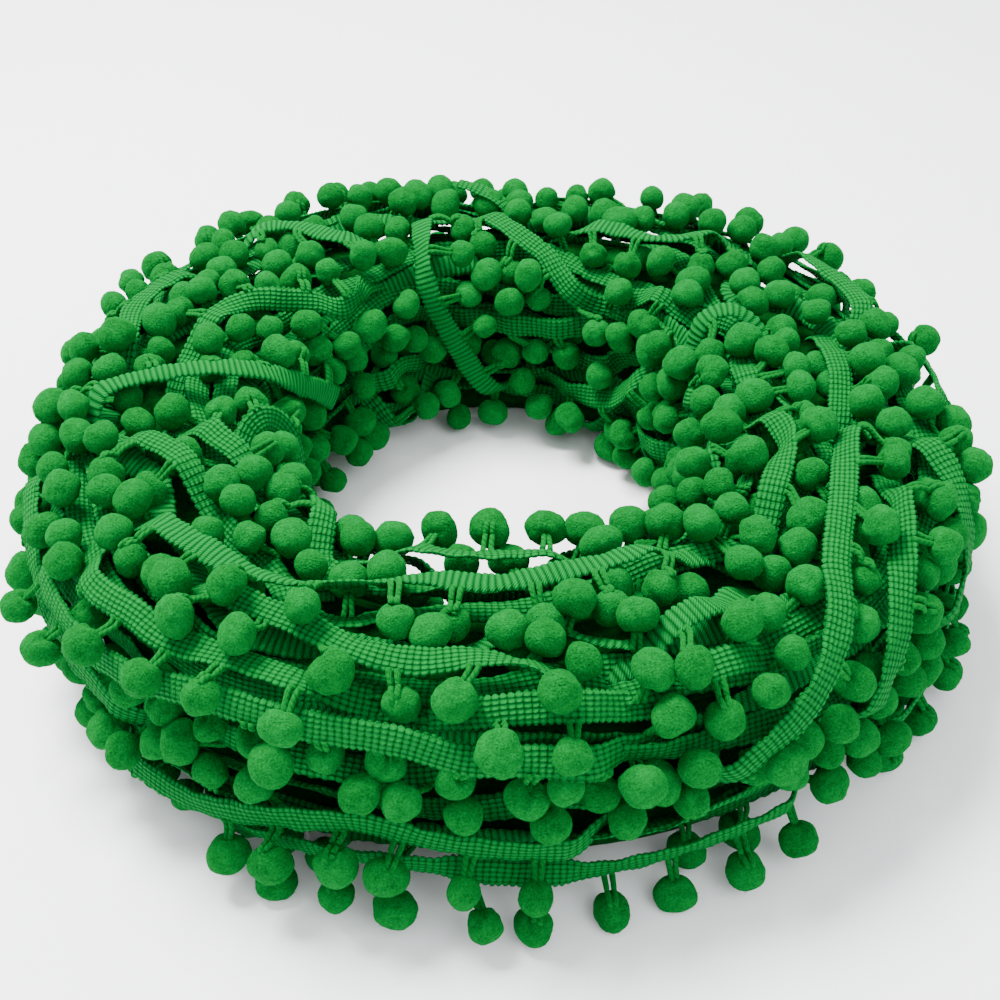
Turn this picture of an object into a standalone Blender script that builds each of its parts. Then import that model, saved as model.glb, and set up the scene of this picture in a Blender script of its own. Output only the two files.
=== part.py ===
"""Pompom fringe trim, wound by hand into a loose ring-shaped hank that lies flat.

The hank is a ring of woven tape. One solid is its wound form with the main twists, and on it lie
the outer runs of tape, each a narrow strip with its pompoms fused on by their loops. The end of
the tape stands up at the back of the ring. Lengths are in millimetres and angles in degrees
until a mesh is made; the meshes are in metres, with +Z up and the floor at z = 0.
"""
import math
from collections import namedtuple

import bmesh
import bpy
import numpy as np
from mathutils import Matrix, Vector
from mathutils.bvhtree import BVHTree

# Units
MM = 0.001

# Ring of the hank, measured at the outer runs of tape
OUTER_RADIUS = 124.0
CORNER_SWELL = 3.0
INNER_RADIUS = 60.0
SIDE_FILL = 9.0
RIGHT_FILL = 3.0
HALF_HEIGHT = 32.5
ROUNDNESS = 0.68
FOOT_ROUNDNESS = 0.5

# Wound form under the outer runs
CORE_DEPTH = 8.8
TWIST_HEIGHT = 1.2
TWISTS_AROUND = 5
TWIST_TURNS = 2
BASE_DROP = 12.5
CORE_SEGMENTS = 56
CORE_SIDES = 20

# Tape
TAPE_WIDTH = 7.0
TAPE_THICKNESS = 1.2
TAPE_STEP = 10.5
TRACE_STEP = 2.0
DIVE_LENGTH = 14.0
END_GAP = 0.62
SEAT_SPREAD = 7.0

# Pompoms and their loops
POMPOM_PITCH = 15.0
POMPOM_RADIUS = 4.45
LOOP_REACH = (8.4, 9.4, 7.4)
LOOP_SWINGS = (-35.0, -55.0, -15.0, 5.0, 25.0, 50.0, 75.0)
LOOP_LEANS = (0.0, 25.0, -25.0, 50.0, -50.0)
STEM_RADIUS = 0.95
STEM_ROOT_RADIUS = 0.5
ROOT_SINK = 0.9
ROOT_SHIFT = 0.63
CLEARANCE = 0.35
MOST_POMPOMS = 300
FACE_SHARE = 0.7947

# Looks
GREEN = (0.010, 0.25, 0.04, 1.0)
ROUGHNESS = 0.9

# Every run of tape that shows on the hank. A point of a route is an angle round the ring, seen
# from above with 270 at the front, and an angle round its section, where 0 is the outer side,
# 90 the top and 180 the wall of the hole. side is the edge that the pompoms hang from, 1 for
# the left of the route and -1 for the right; tilt is the twist of the tape along the route;
# lift is its height over the ring's surface, and every is 2 where only each second pompom shows.
# swing is how far the loops turn out of the tape's plane, or None where the pompoms lie close in.
Run = namedtuple("Run", "name side lift every swing tilt route")
RUNS = (
    Run("front_1", -1, 0.5, 1, None, (0, 0, 0, 0, 55),
        ((206, 30), (214, 24), (222, 21), (231, 24), (240, 32), (250, 33), (260, 33), (267, 26),
         (275, 25), (284, 17))),
    Run("front_2", -1, 0.0, 1, None, (50, 20, 0, 0, 0),
        ((222, -20), (229, -21), (236, -20), (243, -11), (250, -4), (257, -1), (265, -5),
         (273, -8), (283, -9))),
    Run("front_3", -1, 0.0, 1, 50, (0, 0, 0, 50, 10, 0, 0),
        ((234, -32), (240, -30), (247, -23), (254, -20), (262, -20), (269, -23), (275, -28),
         (281, -30), (288, -26), (295, -21), (301, -17), (307, -15))),
    Run("front_4", -1, 0.0, 1, None, (10, 0, 20, 40, 50),
        ((214, 52), (221, 47), (228, 50), (234, 49), (241, 53), (248, 53), (256, 51))),
    Run("front_5", -1, 0.0, 1, None, (0, 0, 0, 10, 0, 50, 0),
        ((228, 76), (234, 78), (240, 78), (247, 77), (254, 72), (261, 70), (268, 73), (275, 69),
         (280, 68))),
    Run("front_6", -1, 0.0, 1, None, (0, 0, 0),
        ((264, 46), (268, 48), (273, 50), (279, 49), (285, 46))),
    Run("front_7", -1, 0.0, 1, None, (20, 0, 0),
        ((285, 74), (291, 79), (297, 82), (302, 86))),
    Run("front_8", -1, -2.0, 1, None, (0, 0),
        ((287, 55), (292, 57), (297, 57), (302, 55))),
    Run("front_9", -1, 0.5, 1, None, (20, 0, 0, 40, 50, 10, 0, 0, 20, 40),
        ((213, 80), (220, 84), (228, 86), (236, 87), (244, 89), (252, 92), (260, 97), (270, 97),
         (279, 100), (288, 101), (296, 102), (303, 100))),
    Run("front_10", -1, 0.0, 1, 20, (0, 0, 0),
        ((289, 122), (280, 121), (272, 124), (263, 122), (254, 126), (244.5, 127))),
    Run("left_1", -1, 0.5, 1, None, (0, 0, 0),
        ((194, 80), (199, 88), (205, 92), (211, 95), (217, 97))),
    Run("left_2", 1, 1.5, 1, None, (0, 0, 0, 0),
        ((191, 62), (186, 80), (182, 98), (178, 124), (170, 150), (157, 170), (141, 184))),
    Run("left_3", 1, 0.0, 1, None, (0, 30, 0),
        ((192, 95), (198, 102), (204, 108), (210, 116), (217, 126))),
    Run("left_4", -1, 0.5, 1, None, (0, 0, 0),
        ((213, 164), (222, 154), (229, 140), (235, 123), (239, 108))),
    Run("left_5", 1, 0.0, 1, None, (20, 40, 30),
        ((203, 124), (196, 128), (191, 140), (189, 154), (190, 170), (196, 186))),
    Run("left_6", 1, 0.5, 1, None, (0, 10, 0, 30),
        ((176, 74), (170, 76), (163, 71), (157, 72), (151, 76), (145, 77))),
    Run("left_7", 1, 0.5, 1, None, (0, 0, 50, 0, 40, 0),
        ((171, 92), (165, 94), (159, 98), (153, 105), (148, 117), (142, 129), (137, 140),
         (131, 140), (125, 131), (119, 126))),
    Run("left_8", -1, -1.0, 1, None, (30, 20, 0),
        ((190, 36), (198, 24), (206, 12), (215, 5), (224, 2), (232, -2))),
    Run("left_9", -1, 0.0, 1, None, (0, 0, 0),
        ((176, -16), (186, -12), (196, -14), (205, -20), (214, -24))),
    Run("back_1", -1, 0.5, 1, None, (0, 0, 0),
        ((139, 64), (134, 74), (129, 84), (125, 95), (120, 101), (114, 102))),
    Run("back_2", 1, 0.5, 1, None, (0, 50, 40, 0, 0, 10),
        ((104, 88), (107, 104), (109, 124), (110, 142), (108, 162), (103, 178), (96, 192),
         (90, 204), (86, 211), (83, 206))),
    Run("back_3", -1, 0.5, 1, None, (0, 0, 10, 0, 10),
        ((95, 88), (92, 96), (88, 106), (83, 117), (78, 126), (74, 137), (69, 147), (63, 153),
         (58, 152))),
    Run("back_4", -1, 0.0, 1, None, (0, 0, 0),
        ((98, 174), (90, 173), (80, 172), (70, 171), (61, 169))),
    Run("back_5", -1, 0.0, 1, None, (20, 0, 40, 50, 20),
        ((79, 201), (73, 196), (66, 193), (58, 190), (49, 184), (40, 175), (33, 167))),
    Run("back_6", -1, 0.0, 1, None, (0, 40),
        ((134, 188), (127, 185), (120, 183), (113, 186))),
    Run("back_7", 1, 1.0, 1, None, (0, 20, 0),
        ((130, 193), (126, 209), (121, 220), (115, 220), (111, 212), (108, 202))),
    Run("back_8", -1, 0.5, 1, None, (0, 0, 20, 0),
        ((77, 94), (70, 97), (63, 97), (57, 96), (52, 91), (48, 82), (44, 73))),
    Run("back_9", 1, 1.0, 1, None, (0, 0),
        ((75, 211), (69, 218), (62, 221), (56, 217), (51, 206))),
    Run("right_1", 1, 1.5, 1, None, (50, 30, 0, 0, 0, 0, 0),
        ((348, 84), (341, 88), (332, 87), (322, 82), (314, 72), (309, 55), (304, 35), (300, 22),
         (295, 11), (289, 0))),
    Run("right_2", 1, 1.0, 1, None, (50, 60, 20, 0, 0),
        ((337, 73), (330, 68), (323, 58), (318, 45), (314, 26), (311, 8), (308, -3))),
    Run("right_3", 1, 0.5, 1, None, (50, 30, 0, 0),
        ((350, 66), (344, 58), (340, 42), (336, 24), (331, 9), (325, -2))),
    Run("right_4", -1, 0.5, 1, None, (0, 0, 0, 0),
        ((26, 141), (27, 132), (27, 122), (26, 112), (23, 102), (17, 96))),
    Run("right_5", -1, 0.0, 1, None, (0, 20, 0),
        ((54, 134), (49, 128), (43, 123), (37, 120))),
    Run("right_6", 1, 0.5, 1, None, (0, 0, 50, 0, 0),
        ((350, 118), (345, 111), (341, 103), (335, 98), (328, 97), (321, 95), (315, 92))),
    Run("right_7", 1, 0.0, 1, None, (0, 0, 0),
        ((342, 146), (336, 139), (329, 134), (321, 132))),
    Run("right_8", 1, 0.0, 1, None, (0, 0, 0),
        ((18, 166), (11, 158), (4, 148), (-2, 139))),
    Run("right_9", 1, 0.5, 1, None, (0, 0, 20, 0),
        ((41, 56), (36, 62), (30, 63), (24, 62), (18, 65), (13, 72))),
    Run("right_10", 1, -4.0, 1, None, (0, 0),
        ((15, 84), (8, 86), (1, 87), (-5, 88))),
    Run("right_11", -1, -4.0, 1, None, (0, 0),
        ((15, 112), (8, 114), (1, 114), (-5, 112))),
    Run("right_12", -1, 0.0, 1, None, (20, 0, 20),
        ((48, 198), (39, 196), (30, 193), (21, 190), (12, 188))),
    Run("right_13", -1, 0.0, 1, None, (20, 0, 20),
        ((4, 190), (-5, 186), (-14, 184), (-23, 188))),
    Run("right_14", -1, 0.0, 1, None, (0, 0),
        ((354, 40), (361, 36), (369, 38), (377, 36))),
    Run("outer_1", -1, -3.0, 2, None, (0, 20, 0),
        ((24, 34), (40, 38), (56, 35), (72, 41), (86, 40))),
    Run("outer_2", -1, -2.5, 1, None, (0, 0, 30),
        ((94, 44), (108, 38), (124, 43), (140, 38), (154, 44))),
    Run("outer_3", -1, 0.5, 1, None, (0, 30, 0),
        ((8, 14), (26, 19), (42, 13), (58, 18), (76, 14))),
    Run("outer_4", -1, 0.5, 1, None, (20, 0, 0),
        ((84, 17), (100, 13), (118, 19), (136, 14), (154, 19), (168, 16))),
    Run("outer_5", -1, 0.0, 1, None, (0, 0, 20),
        ((16, -5), (34, -2), (52, -7), (70, -3), (88, -5))),
    Run("outer_6", -1, 0.0, 1, None, (0, 20, 0),
        ((97, -4), (115, -7), (133, -2), (151, -6), (169, -3))),
    Run("outer_7", -1, 0.0, 1, None, (0, 10, 0),
        ((28, -27), (46, -23), (64, -28), (82, -24), (98, -27))),
    Run("outer_8", -1, 0.0, 1, None, (0, 0, 10),
        ((106, -24), (124, -28), (142, -23), (160, -26))),
    Run("outer_9", -1, 0.0, 1, 30, (0, 10, 0),
        ((314, -22), (326, -20), (338, -14), (350, -18), (362, -14), (372, -20))),
    Run("inner_1", 1, 0.0, 2, None, (0, 20, 0),
        ((224, 172), (236, 164), (250, 160), (264, 164))),
    Run("inner_2", 1, 0.0, 2, None, (0, 0, 20),
        ((272, 163), (286, 160), (300, 158), (316, 162))),
    Run("inner_3", 1, 0.0, 2, None, (0, 20, 0),
        ((206, 192), (220, 187), (236, 190), (252, 186), (266, 189))),
    Run("inner_4", 1, 0.0, 2, None, (20, 0, 0),
        ((275, 186), (290, 188), (306, 184), (322, 187))),
    Run("inner_5", 1, 0.0, 2, None, (0, 0),
        ((214, 207), (232, 208), (250, 212), (266, 207))),
    Run("inner_6", 1, 0.0, 2, None, (0, 0),
        ((276, 208), (292, 207), (304, 204), (314, 194))),
)

# The end of the tape, which stands up from the top of the ring at the back
END_ROUTE = ((86, 88), (89, 84), (93, 80), (97, 77))
END_RISE = (0.0, 4.5, 8.0, 10.0)


def ring_rows(angles, turns):
    """Angle, radius, height, outward direction and section angle at points of the ring."""
    angles = np.asarray(angles, float)
    turns = np.asarray(turns, float)
    t = np.radians(angles)
    s = np.radians(turns)
    outer = OUTER_RADIUS + CORNER_SWELL * np.sin(2 * t) ** 2
    inner = INNER_RADIUS - SIDE_FILL * np.cos(t) ** 2 - RIGHT_FILL * np.cos(t)
    half_width = (outer - inner) / 2
    at_foot = (np.cos(s) < 0) & (np.sin(s) < 0)
    side_round = np.where(at_foot, FOOT_ROUNDNESS, ROUNDNESS)
    c = np.sign(np.cos(s)) * np.abs(np.cos(s)) ** side_round
    d = np.sign(np.sin(s)) * np.abs(np.sin(s)) ** ROUNDNESS
    radius = (outer + inner) / 2 + c * half_width
    height = HALF_HEIGHT + d * HALF_HEIGHT
    normal_r = np.sign(c) * np.abs(np.cos(s)) ** (2 - side_round) / half_width
    normal_z = np.sign(d) * np.abs(np.sin(s)) ** (2 - ROUNDNESS) / HALF_HEIGHT
    size = np.hypot(normal_r, normal_z)
    return np.stack([angles, radius, height, normal_r / size, normal_z / size, turns], axis=-1)


def to_world(rows, lift):
    """Points over the ring's surface and the outward directions there."""
    t = np.radians(rows[..., 0])
    flat = np.stack([np.cos(t), np.sin(t)], axis=-1)
    size = np.hypot(rows[..., 3], rows[..., 4])
    out_r = rows[..., 3] / size
    out_z = rows[..., 4] / size
    radius = rows[..., 1] + lift * out_r
    height = rows[..., 2] + lift * out_z
    points = np.concatenate([flat * radius[..., None], height[..., None]], axis=-1)
    outward = np.concatenate([flat * out_r[..., None], out_z[..., None]], axis=-1)
    return points, outward


def core_lift(angles, turns):
    """How far the wound form lies under the outer runs, with its twists as ridges."""
    wave = TWISTS_AROUND * np.radians(turns) + TWIST_TURNS * np.radians(angles)
    return -CORE_DEPTH + TWIST_HEIGHT * np.cos(wave)


def smooth(knots, steps):
    """A smooth curve through the knots, read at evenly spaced steps."""
    k = np.array(knots, float)
    k = k.reshape(len(k), -1)
    spans = len(k) - 1
    ends = np.vstack([2 * k[0] - k[1], k, 2 * k[-1] - k[-2]])
    at = np.linspace(0, spans, steps)
    i = np.minimum(at.astype(int), spans - 1)
    f = (at - i)[:, None]
    a, b, c, d = ends[i], ends[i + 1], ends[i + 2], ends[i + 3]
    return 0.5 * (2 * b + (c - a) * f + (2 * a - 5 * b + 4 * c - d) * f ** 2
                  + (3 * b - a - 3 * c + d) * f ** 3)


def unit(v):
    """Vectors of length 1."""
    return v / np.linalg.norm(v, axis=-1, keepdims=True)


def gentle(x):
    """A soft step from 0 to 1."""
    x = np.clip(x, 0, 1)
    return x * x * (3 - 2 * x)


Trace = namedtuple("Trace", "points along across out folds")


def resample(columns, length_so_far, step):
    """The columns at evenly spaced lengths, with both ends kept."""
    count = max(int(round(length_so_far[-1] / step)), 2)
    at = np.linspace(0, length_so_far[-1], count + 1)
    return np.stack([np.interp(at, length_so_far, col) for col in columns.T], axis=-1), at


def trace_tape(points, outward, tilt, side):
    """Frames along a tape that is straight between its folds.

    across points to the edge with the pompoms and out points away from the ring.
    """
    along = unit(np.gradient(points, axis=0))
    out = unit(outward - along * np.sum(outward * along, axis=-1, keepdims=True))
    across = np.cross(out, along) * side
    turn = np.radians(tilt)[:, None]
    across = unit(across * np.cos(turn) + out * np.sin(turn))
    count = max(int(round((len(points) - 1) * TRACE_STEP / TAPE_STEP)), 2)
    folds = np.linspace(0, len(points) - 1, count + 1).round().astype(int)
    at = np.arange(len(points))
    edges = [points - across * TAPE_WIDTH / 2, points + across * TAPE_WIDTH / 2]
    left, right = [np.stack([np.interp(at, folds, edge[folds, i]) for i in range(3)], axis=-1)
                   for edge in edges]
    points = (left + right) / 2
    along = unit(np.gradient(points, axis=0))
    across = unit(right - left)
    return Trace(points, along, across, unit(np.cross(along, across)) * side, folds)


def seat_lift(rows, core_tree):
    """Lift over the ring's surface at which a tape's end lies just over the wound form."""
    highest = -math.inf
    for row in rows:
        point, outward = to_world(row, 0.0)
        hit, _, _, depth = core_tree.ray_cast(Vector(point), Vector(-outward))
        if hit is not None:
            highest = max(highest, -depth)
    return highest + TAPE_THICKNESS / 2 + END_GAP


def end_rows(row, ahead):
    """Places across the end of a tape, for its seat on the wound form."""
    points, outward = to_world(np.stack([row, ahead]), 0.0)
    way = unit(np.cross(outward[0], points[1] - points[0]))
    turn_step = way @ (to_world(ring_rows(row[0], row[5] + 1), 0.0)[0] - points[0])
    angle_step = way @ (to_world(ring_rows(row[0] + 1, row[5]), 0.0)[0] - points[0])
    size = math.hypot(turn_step, angle_step)
    found = []
    for share in (-1, -0.5, 0, 0.5, 1):
        turn = row[5] + share * SEAT_SPREAD * turn_step / size
        angle = row[0] + share * SEAT_SPREAD * angle_step / size / 3
        found.append(ring_rows(angle, turn))
    return found


def trace_run(run, core_tree):
    """Frames every TRACE_STEP along a run, whose ends dive to the wound form."""
    steps = 60 * len(run.route)
    angles, turns = np.array(run.route, float).T
    rows = smooth(ring_rows(angles, turns), steps)
    tilt = smooth(run.tilt, steps)[:, 0]
    rough, _ = to_world(rows, run.lift)
    done = np.concatenate([[0], np.cumsum(np.linalg.norm(np.diff(rough, axis=0), axis=1))])
    table, at = resample(np.column_stack([rows, tilt]), done, TRACE_STEP)
    from_end = np.minimum(at, at[-1] - at)
    up = gentle(from_end / DIVE_LENGTH)
    first = seat_lift(end_rows(table[0], table[1]), core_tree)
    last = seat_lift(end_rows(table[-1], table[-2]), core_tree)
    seat = np.where(at < at[-1] / 2, first, last)
    points, outward = to_world(table, seat + (run.lift - seat) * up)
    return trace_tape(points, outward, table[:, 6] * up, run.side)


def trace_end(core_tree):
    """Frames along the end of the tape, which rises from its seat on the wound form."""
    steps = 60 * len(END_ROUTE)
    angles, turns = np.array(END_ROUTE, float).T
    rows = smooth(ring_rows(angles, turns), steps)
    seat = seat_lift(end_rows(rows[0], rows[1]), core_tree)
    points, outward = to_world(rows, seat + smooth(END_RISE, steps)[:, 0])
    done = np.concatenate([[0], np.cumsum(np.linalg.norm(np.diff(points, axis=0), axis=1))])
    table, _ = resample(np.column_stack([points, outward]), done, TRACE_STEP)
    return trace_tape(table[:, :3], table[:, 3:], np.zeros(len(table)), 1)


def tape_distance(trace, point):
    """Distance from a point to the tape, as flat boxes along its frames."""
    d = point - trace.points
    u = np.abs(np.sum(d * trace.along, axis=1)) - TRACE_STEP / 2
    w = np.abs(np.sum(d * trace.across, axis=1)) - TAPE_WIDTH / 2
    n = np.abs(np.sum(d * trace.out, axis=1)) - TAPE_THICKNESS / 2
    gaps = np.maximum(np.stack([u, w, n], axis=1), 0)
    return np.sqrt(np.sum(gaps ** 2, axis=1)).min()


Pompom = namedtuple("Pompom", "root centre loop")


class Layout:
    """Places the pompoms so that each keeps clear of the tapes, the wound form and the rest."""

    def __init__(self, traces, core_tree):
        self.traces = traces
        self.tree = core_tree
        self.balls = np.zeros((0, 4))
        self.placed = 0

    def core_distance(self, point):
        """Distance to the wound form, below zero inside it."""
        near, normal, _, distance = self.tree.find_nearest(Vector(point))
        return math.copysign(distance, (Vector(point) - near).dot(normal))

    def clear(self, name, point, radius, own_tape):
        """Whether a ball at the point touches nothing."""
        if self.core_distance(point) < radius + CLEARANCE:
            return False
        if len(self.balls):
            gap = np.linalg.norm(self.balls[:, :3] - point, axis=1) - self.balls[:, 3]
            if gap.min() < radius + CLEARANCE:
                return False
        for other, trace in self.traces.items():
            if other == name and own_tape:
                continue
            if np.abs(trace.points - point).max(axis=1).min() > 3 * POMPOM_RADIUS:
                continue
            if tape_distance(trace, point) < radius + CLEARANCE:
                return False
        return True

    def hang(self, name, trace, at, swings_to):
        """The best free place for the pompom whose loop leaves the tape at a frame."""
        edge = trace.points[at] + trace.across[at] * TAPE_WIDTH / 2
        best = None
        for swing in LOOP_SWINGS:
            for lean in LOOP_LEANS:
                s, n = math.radians(swing), math.radians(lean)
                way = trace.across[at] * math.cos(s) + trace.out[at] * math.sin(s)
                way = way * math.cos(n) + trace.along[at] * math.sin(n)
                for reach in LOOP_REACH:
                    centre = edge + way * reach
                    on_floor = centre[2] < POMPOM_RADIUS + CLEARANCE
                    if on_floor:
                        if centre[2] < -POMPOM_RADIUS:
                            continue
                        centre[2] = POMPOM_RADIUS * FACE_SHARE
                    spare = np.linalg.norm(centre - edge) - POMPOM_RADIUS
                    if spare < 2.0:
                        continue
                    cost = abs(lean) * 0.05
                    if swings_to is None:
                        cost += self.core_distance(centre) + centre[2] * 0.15
                    else:
                        cost += abs(swing - swings_to) * 0.1
                    if best is not None and cost >= best[0]:
                        continue
                    if not self.clear(name, centre, POMPOM_RADIUS, False):
                        continue
                    loop = [edge + (centre - edge) * f for f in (0.12, 0.3, 0.48)]
                    loop = [p for p in loop if np.linalg.norm(p - centre) > POMPOM_RADIUS]
                    if all(self.clear(name, p, STEM_RADIUS, True) for p in loop):
                        best = (cost, centre, loop)
        return best

    def place(self, run, trace):
        """Pompoms at an even pitch along a run, without those that have no room."""
        pitch = POMPOM_PITCH * run.every
        first = (POMPOM_PITCH / 2 + DIVE_LENGTH / 3) / TRACE_STEP
        stops = np.arange(first, len(trace.points) - first / 2, pitch / TRACE_STEP).astype(int)
        found = []
        for at in stops:
            if self.placed >= MOST_POMPOMS:
                break
            best = self.hang(run.name, trace, at, run.swing)
            if best is None:
                continue
            _, centre, loop = best
            root = trace.points[at] + trace.across[at] * (TAPE_WIDTH / 2 - ROOT_SINK)
            root = root + trace.along[at] * ROOT_SHIFT
            found.append(Pompom(root, centre, loop))
            added = [[*centre, POMPOM_RADIUS]] + [[*p, STEM_RADIUS] for p in loop]
            self.balls = np.vstack([self.balls, added])
            self.placed += 1
        return found


def new_object(name, bm, collection, material):
    """An object with the mesh, in its collection, with its material."""
    mesh = bpy.data.meshes.new(name)
    bm.to_mesh(mesh)
    bm.free()
    mesh.materials.append(material)
    obj = bpy.data.objects.new(name, mesh)
    collection.objects.link(obj)
    return obj


def green_material(name):
    """Matte dyed yarn."""
    material = bpy.data.materials.new(name)
    material.use_nodes = True
    shader = material.node_tree.nodes["Principled BSDF"]
    shader.inputs["Base Color"].default_value = GREEN
    shader.inputs["Roughness"].default_value = ROUGHNESS
    shader.inputs["Metallic"].default_value = 0.0
    return material


def core_mesh():
    """The wound form: a closed ring whose flat underside lies on the floor."""
    angles = np.linspace(0, 360, CORE_SEGMENTS, endpoint=False)
    turns = np.linspace(0, 360, CORE_SIDES, endpoint=False)
    a, s = np.meshgrid(angles, turns, indexing="ij")
    rows = ring_rows(a.ravel(), s.ravel())
    points, _ = to_world(rows, core_lift(rows[:, 0], rows[:, 5]))
    low = np.minimum(np.sin(np.radians(rows[:, 5])), 0)
    points[:, 2] = np.maximum(points[:, 2] - BASE_DROP * low ** 4, 0)
    bm = bmesh.new()
    verts = [bm.verts.new(p) for p in points]
    for i in range(CORE_SEGMENTS):
        for j in range(CORE_SIDES):
            k = (i + 1) % CORE_SEGMENTS
            m = (j + 1) % CORE_SIDES
            corners = (i * CORE_SIDES + j, k * CORE_SIDES + j, k * CORE_SIDES + m,
                       i * CORE_SIDES + m)
            bm.faces.new([verts[c] for c in corners])
    bmesh.ops.recalc_face_normals(bm, faces=bm.faces)
    return bm


def ribbon_mesh(trace):
    """The middle surface of a tape: a grid one face wide, laid along its folds."""
    count = len(trace.folds) - 1
    bm = bmesh.new()
    bmesh.ops.create_grid(bm, x_segments=count, y_segments=1, size=0.5)
    for v in bm.verts:
        frame = trace.folds[int(round((v.co.x + 0.5) * count))]
        spot = trace.points[frame] + trace.across[frame] * v.co.y * TAPE_WIDTH
        v.co = spot * MM
    return bm


def strand_mesh(bm, pompom):
    """A pompom as a faceted ball, with its loop drawn out of one face to the tape's edge."""
    ball = bmesh.ops.create_icosphere(bm, subdivisions=1, radius=POMPOM_RADIUS)
    way = Vector(unit(pompom.root - pompom.centre))
    faces = sorted({f for v in ball["verts"] for f in v.link_faces},
                   key=lambda f: tuple(f.calc_center_median()))
    on_floor = abs(pompom.centre[2] - POMPOM_RADIUS * FACE_SHARE) < 1e-6
    rest = Vector((0, 0, -1)) if on_floor else way
    turn = faces[0].normal.rotation_difference(rest)
    for v in ball["verts"]:
        v.co = turn @ v.co
    for v in ball["verts"]:
        v.co = (Vector(pompom.centre) + v.co) * MM
    for face in faces:
        face.normal_update()
    mouth = max(faces, key=lambda f: f.normal.dot(way))
    middle = mouth.calc_center_median()
    neck = bmesh.ops.extrude_discrete_faces(bm, faces=[mouth])["faces"][0]
    reach = STEM_RADIUS * MM
    for v in neck.verts:
        v.co = middle + (v.co - middle).normalized() * reach
    neck.normal_update()
    root = bmesh.ops.extrude_discrete_faces(bm, faces=[neck])["faces"][0]
    target = Vector(pompom.root) * MM
    for v in root.verts:
        v.co = target + (v.co - middle).normalized() * STEM_ROOT_RADIUS * MM


def new_tape(name, trace, collection):
    """A run of tape with its thickness."""
    tape = new_object(name, ribbon_mesh(trace), collection, green_material(name))
    thick = tape.modifiers.new("thickness", "SOLIDIFY")
    thick.thickness = TAPE_THICKNESS * MM
    thick.offset = 0
    return tape


def add_strands(tape, pompoms, cutters):
    """Fuses the pompoms and their loops to a tape."""
    bm = bmesh.new()
    for pompom in pompoms:
        strand_mesh(bm, pompom)
    bmesh.ops.recalc_face_normals(bm, faces=bm.faces)
    name = tape.name.replace("fringe", "strands")
    strands = new_object(name, bm, cutters, green_material(name))
    strands.hide_render = True
    strands.display_type = "WIRE"
    join = tape.modifiers.new("strands", "BOOLEAN")
    join.operation = "UNION"
    join.solver = "EXACT"
    join.object = strands


def centre_on_floor(*collections):
    """Moves everything so that its box is centred on the origin, with its lowest point at 0."""
    graph = bpy.context.evaluated_depsgraph_get()
    corners = np.array([corner[:] for obj in collections[0].objects
                        for corner in obj.evaluated_get(graph).bound_box])
    low = corners.min(axis=0)
    high = corners.max(axis=0)
    move = Vector((-(low[0] + high[0]) / 2, -(low[1] + high[1]) / 2, -low[2]))
    for collection in collections:
        for obj in collection.objects:
            obj.data.transform(Matrix.Translation(move))


def build():
    """Makes the hank."""
    for obj in list(bpy.data.objects):
        bpy.data.objects.remove(obj, do_unlink=True)
    parts = bpy.data.collections.new("pompom_fringe_hank")
    cutters = bpy.data.collections.new("strands_to_join")
    bpy.context.scene.collection.children.link(parts)
    bpy.context.scene.collection.children.link(cutters)

    core = core_mesh()
    core_tree = BVHTree.FromBMesh(core)
    traces = {run.name: trace_run(run, core_tree) for run in RUNS}
    traces["end"] = trace_end(core_tree)
    layout = Layout(traces, core_tree)
    pompoms = {run.name: layout.place(run, traces[run.name]) for run in RUNS}

    for v in core.verts:
        v.co *= MM
    new_object("wound_form", core, parts, green_material("wound_form"))
    for run in RUNS:
        tape = new_tape("fringe_" + run.name, traces[run.name], parts)
        if pompoms[run.name]:
            add_strands(tape, pompoms[run.name], cutters)
    new_tape("loose_end", traces["end"], parts)
    centre_on_floor(parts, cutters)
    print("pompoms", layout.placed)


build()
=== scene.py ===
"""Looks of a pompom fringe trim that is wound into a loose ring lying flat.

The tape, its loops and its pompoms are made here in fine detail on the runs of the CAD model, and
lower turns of the same tape fill the ring under them. Lengths are in millimetres until a mesh
is made.
"""

import math
from collections import namedtuple

import bmesh
import bpy
import numpy as np
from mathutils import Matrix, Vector
from mathutils.bvhtree import BVHTree
from mathutils.kdtree import KDTree


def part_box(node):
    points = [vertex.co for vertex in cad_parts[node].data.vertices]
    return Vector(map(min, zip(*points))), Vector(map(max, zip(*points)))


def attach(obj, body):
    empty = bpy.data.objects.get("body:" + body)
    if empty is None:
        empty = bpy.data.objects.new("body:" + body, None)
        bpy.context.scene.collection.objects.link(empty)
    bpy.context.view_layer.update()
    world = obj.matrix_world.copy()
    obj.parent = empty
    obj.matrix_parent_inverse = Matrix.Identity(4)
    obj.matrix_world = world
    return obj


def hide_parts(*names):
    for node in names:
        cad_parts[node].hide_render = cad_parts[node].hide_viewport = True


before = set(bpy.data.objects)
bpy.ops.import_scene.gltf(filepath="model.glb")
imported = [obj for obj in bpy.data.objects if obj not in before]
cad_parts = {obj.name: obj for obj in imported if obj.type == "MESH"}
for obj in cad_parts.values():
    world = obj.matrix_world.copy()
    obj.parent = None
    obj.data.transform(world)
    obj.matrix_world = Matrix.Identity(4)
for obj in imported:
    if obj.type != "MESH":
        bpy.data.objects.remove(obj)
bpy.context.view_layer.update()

# Units
MM = 0.001

# Ring of the hank, measured at the outer runs of tape
OUTER_RADIUS = 124.0
CORNER_SWELL = 3.0
INNER_RADIUS = 60.0
SIDE_FILL = 9.0
RIGHT_FILL = 3.0
HALF_HEIGHT = 32.5
ROUNDNESS = 0.68
FOOT_ROUNDNESS = 0.5

# Wound form under the outer runs
CORE_DEPTH = 8.8
TWIST_HEIGHT = 1.2
TWISTS_AROUND = 5
TWIST_TURNS = 2
BASE_DROP = 12.5
CORE_SEGMENTS = 56
CORE_SIDES = 20

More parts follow.
